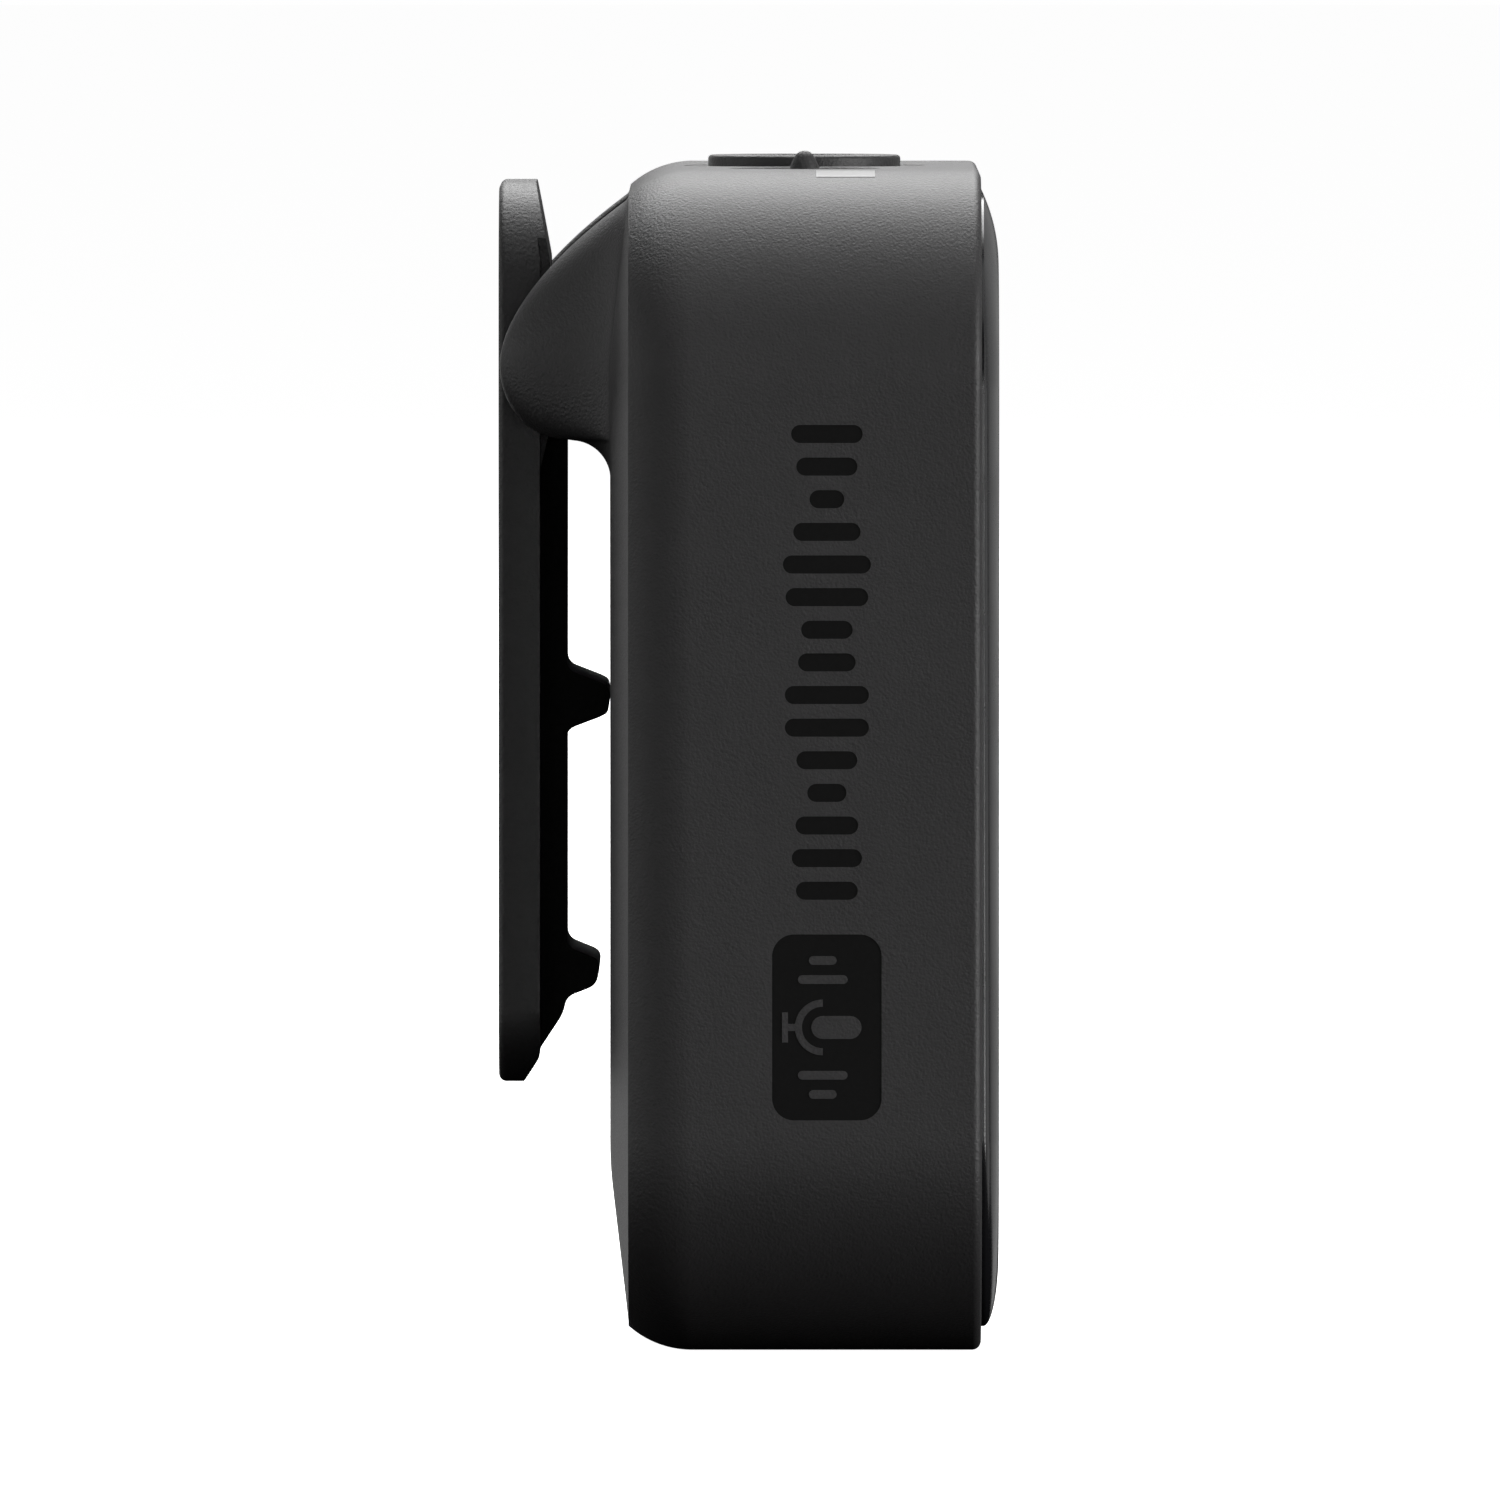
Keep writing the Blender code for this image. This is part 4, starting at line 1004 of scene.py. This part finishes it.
def make_tongue_contacts(materials):
    """A row of flat contacts on each side of the charging tongue."""
    for side, label in ((-1, "front"), (1, "back")):
        contacts = bmesh.new()
        level = USB_CENTRE[1] + side * 0.36
        for number in range(12):
            x = 0.5 * (number - 5.5)
            matrix = Matrix.Translation((x, level, 3.9)) @ Matrix.Diagonal((0.26, 0.06, 4.6, 1))
            bmesh.ops.create_cube(contacts, size=1, matrix=matrix)
        piece = new_mesh_object(f"charging_contacts_{label}", contacts)
        soften(piece, 0.02, 1)
        show(piece, "case", "contact_brass", materials["contact_brass"])


def make_screws(materials):
    """Cover screws and board screws with a hexagonal socket in the head."""
    head_y = RECESS_Y + 0.05
    cover_screw = [
        (SCREW_HEAD_RADIUS - 0.12, head_y), (SCREW_HEAD_RADIUS, head_y + 0.12),
        (SCREW_HEAD_RADIUS, head_y + 0.5), (SCREW_SHAFT_RADIUS, head_y + 0.5),
        (SCREW_SHAFT_RADIUS, -1.7), (0.5, -1.5),
    ]
    board_y = -4.35
    top_y = board_y + 0.6
    board_screw = [
        (0.3, -6.5), (0.5, -6.3), (0.5, board_y), (SCREW_HEAD_RADIUS, board_y),
        (SCREW_HEAD_RADIUS, board_y + 0.35), (SCREW_HEAD_RADIUS - 0.2, top_y),
    ]
    screws = [(f"cover_screw_{n}", p, cover_screw, head_y) for n, p in enumerate(POST_PLACES, 1)]
    screws += [(f"board_screw_{n}", p, board_screw, top_y) for n, p in enumerate(STANDOFF_PLACES, 1)]
    for name, centre, profile, face_y in screws:
        screw = new_mesh_object(f"{name}_turned", turned("Y", centre, profile, 40))
        socket = turned("Y", centre, ((0.55, face_y - 0.3), (0.55, face_y + 0.3)), 6)
        combine(screw, "DIFFERENCE", [socket])
        show(screw, "case", "steel", materials["steel"], name)


def make_light_pipes(materials):
    """Clear light pipes with a slightly domed tip."""
    pipe = [
        (0.2, FRONT_Y + 0.01), (0.36, FRONT_Y + 0.03), (0.45, FRONT_Y + 0.10),
        (0.45, -6.75), (0.9, -6.75), (0.9, -6.35), (0.6, -6.35), (0.6, -5.9),
    ]
    for number, centre in enumerate(LED_PLACES, 1):
        piece = new_mesh_object(f"light_guide_{number}", turned("Y", centre, pipe, 40))
        show(piece, "case", "clear_plastic", materials["clear_plastic"], f"light_pipe_{number}")


def make_top_mark(materials):
    """The small pale printed bar on the left shoulder, which follows the rounded corner."""
    body = bmesh.new()
    centre = (-(CASE_WIDTH / 2 - CORNER_RADIUS), CASE_HEIGHT - CORNER_RADIUS)
    stations = arc(centre, 1.0, 90 + 4, 90 + 14, 12)
    rows = []
    for y in (-2.50, -2.58, -4.57, -4.65):
        rows.append([])
        for x, z in stations:
            outward = (x - centre[0], z - centre[1])
            rows[-1].append([
                body.verts.new((centre[0] + outward[0] * r, y, centre[1] + outward[1] * r))
                for r in (CORNER_RADIUS - 0.02, CORNER_RADIUS + 0.015)
            ])
    last = len(stations) - 1
    for near, far in zip(rows, rows[1:]):
        for i in range(last):
            for level in (0, 1):
                body.faces.new((near[i][level], near[i + 1][level], far[i + 1][level], far[i][level]))
    for row in (rows[0], rows[-1]):
        for i in range(last):
            body.faces.new((row[i][0], row[i + 1][0], row[i + 1][1], row[i][1]))
    for i in (0, last):
        for near, far in zip(rows, rows[1:]):
            body.faces.new((near[i][0], far[i][0], far[i][1], near[i][1]))
    bmesh.ops.recalc_face_normals(body, faces=body.faces)
    piece = new_mesh_object("top_mark", body)
    show(piece, "case", "pale_plastic", materials["pale_ink"])


def dress_cad_nodes(materials):
    """Give every CAD node that still shows the finish of its slot."""
    slots = {part["node"]: part["material_slot"] for part in frame["record"]["subparts"]}
    for name, node in frame["nodes"].items():
        node.data.materials.clear()
        node.data.materials.append(materials[slots[name]])


# Stage, lights and camera


def make_stage():
    """A wide pale floor under a white surround."""
    body = bmesh.new()
    bmesh.ops.create_circle(body, cap_ends=True, segments=96, radius=6000)
    floor = new_mesh_object("floor", body)
    floor.location.z = -0.00002
    material, tree, shader, point = start_material("floor_paper")
    fibre = noise(tree, point, 2.0, 3.0)
    base = blend_colours(tree, fibre, (0.90, 0.90, 0.90), (0.93, 0.93, 0.93))
    tree.links.new(base, shader.inputs["Base Color"])
    shader.inputs["Roughness"].default_value = 0.9
    shader.inputs["Emission Color"].default_value = (1, 1, 1, 1)
    shader.inputs["Emission Strength"].default_value = 0.98
    floor.data.materials.append(material)
    floor.visible_diffuse = False
    floor.visible_glossy = False
    world = bpy.data.worlds.new("studio")
    world.use_nodes = True
    world.node_tree.nodes["Background"].inputs["Color"].default_value = (1, 1, 1, 1)
    world.node_tree.nodes["Background"].inputs["Strength"].default_value = 1.0
    world.cycles_visibility.diffuse = False
    world.cycles_visibility.glossy = False
    world.cycles_visibility.transmission = False
    bpy.context.scene.world = world


def add_light(name, place_m, size_m, watts):
    """A soft rectangular light that faces the middle of the object."""
    data = bpy.data.lights.new(name, "AREA")
    data.shape = "RECTANGLE"
    data.size, data.size_y = size_m
    data.energy = watts
    light = bpy.data.objects.new(name, data)
    light.location = place_m
    direction = Vector(LIGHT_TARGET) - light.location
    light.rotation_euler = direction.to_track_quat("-Z", "Y").to_euler()
    light.visible_camera = False
    bpy.context.scene.collection.objects.link(light)


def make_lights():
    """Soft studio light: strongest from above and behind, with fills round the other sides."""
    add_light("overhead_back", (0.66, 0.0, 0.92), (1.0, 1.0), 22)
    add_light("overhead_front", (-0.5, 0.0, 0.95), (0.8, 0.8), 2.3)
    add_light("low_front", (-1.1, 0.0, 0.05), (0.8, 0.08), 1.2)
    add_light("panel_front", (-0.6, -1.0, 0.15), (0.6, 0.5), 13)
    add_light("panel_side", (0.3, -1.0, 0.15), (0.8, 0.8), 1.2)
    add_light("panel_back", (1.1, -0.55, 0.15), (0.8, 0.6), 0.5)
    add_light("clip_front", (-0.35, 0.95, 0.10), (0.6, 0.4), 1.5)
    add_light("clip_side", (0.3, 1.0, 0.15), (0.8, 0.6), 1.5)
    add_light("clip_back", (1.0, 0.40, 0.05), (0.4, 0.5), 0.8)


def make_camera():
    """A long lens level with the left side, a little above it."""
    data = bpy.data.cameras.new("camera")
    data.lens = CAMERA_LENS
    data.clip_start = 0.1
    data.clip_end = 20
    camera = bpy.data.objects.new("camera", data)
    camera.location = CAMERA_PLACE
    direction = Vector(CAMERA_TARGET) - camera.location
    camera.rotation_euler = direction.to_track_quat("-Z", "Y").to_euler()
    bpy.context.scene.collection.objects.link(camera)
    bpy.context.scene.camera = camera
    bpy.context.scene.view_settings.view_transform = "Standard"


def main():
    """Build every piece around the frame."""
    materials = make_materials()
    make_camera()
    dress_cad_nodes(materials)
    make_housing(materials)
    make_front_panel(materials)
    make_rear_cover(materials)
    make_lever(materials)
    make_grip(materials)
    make_hinge(materials)
    make_button(materials)
    make_microphone(materials)
    make_sockets(materials)
    make_screws(materials)
    make_light_pipes(materials)
    make_top_mark(materials)
    make_stage()
    make_lights()


main()
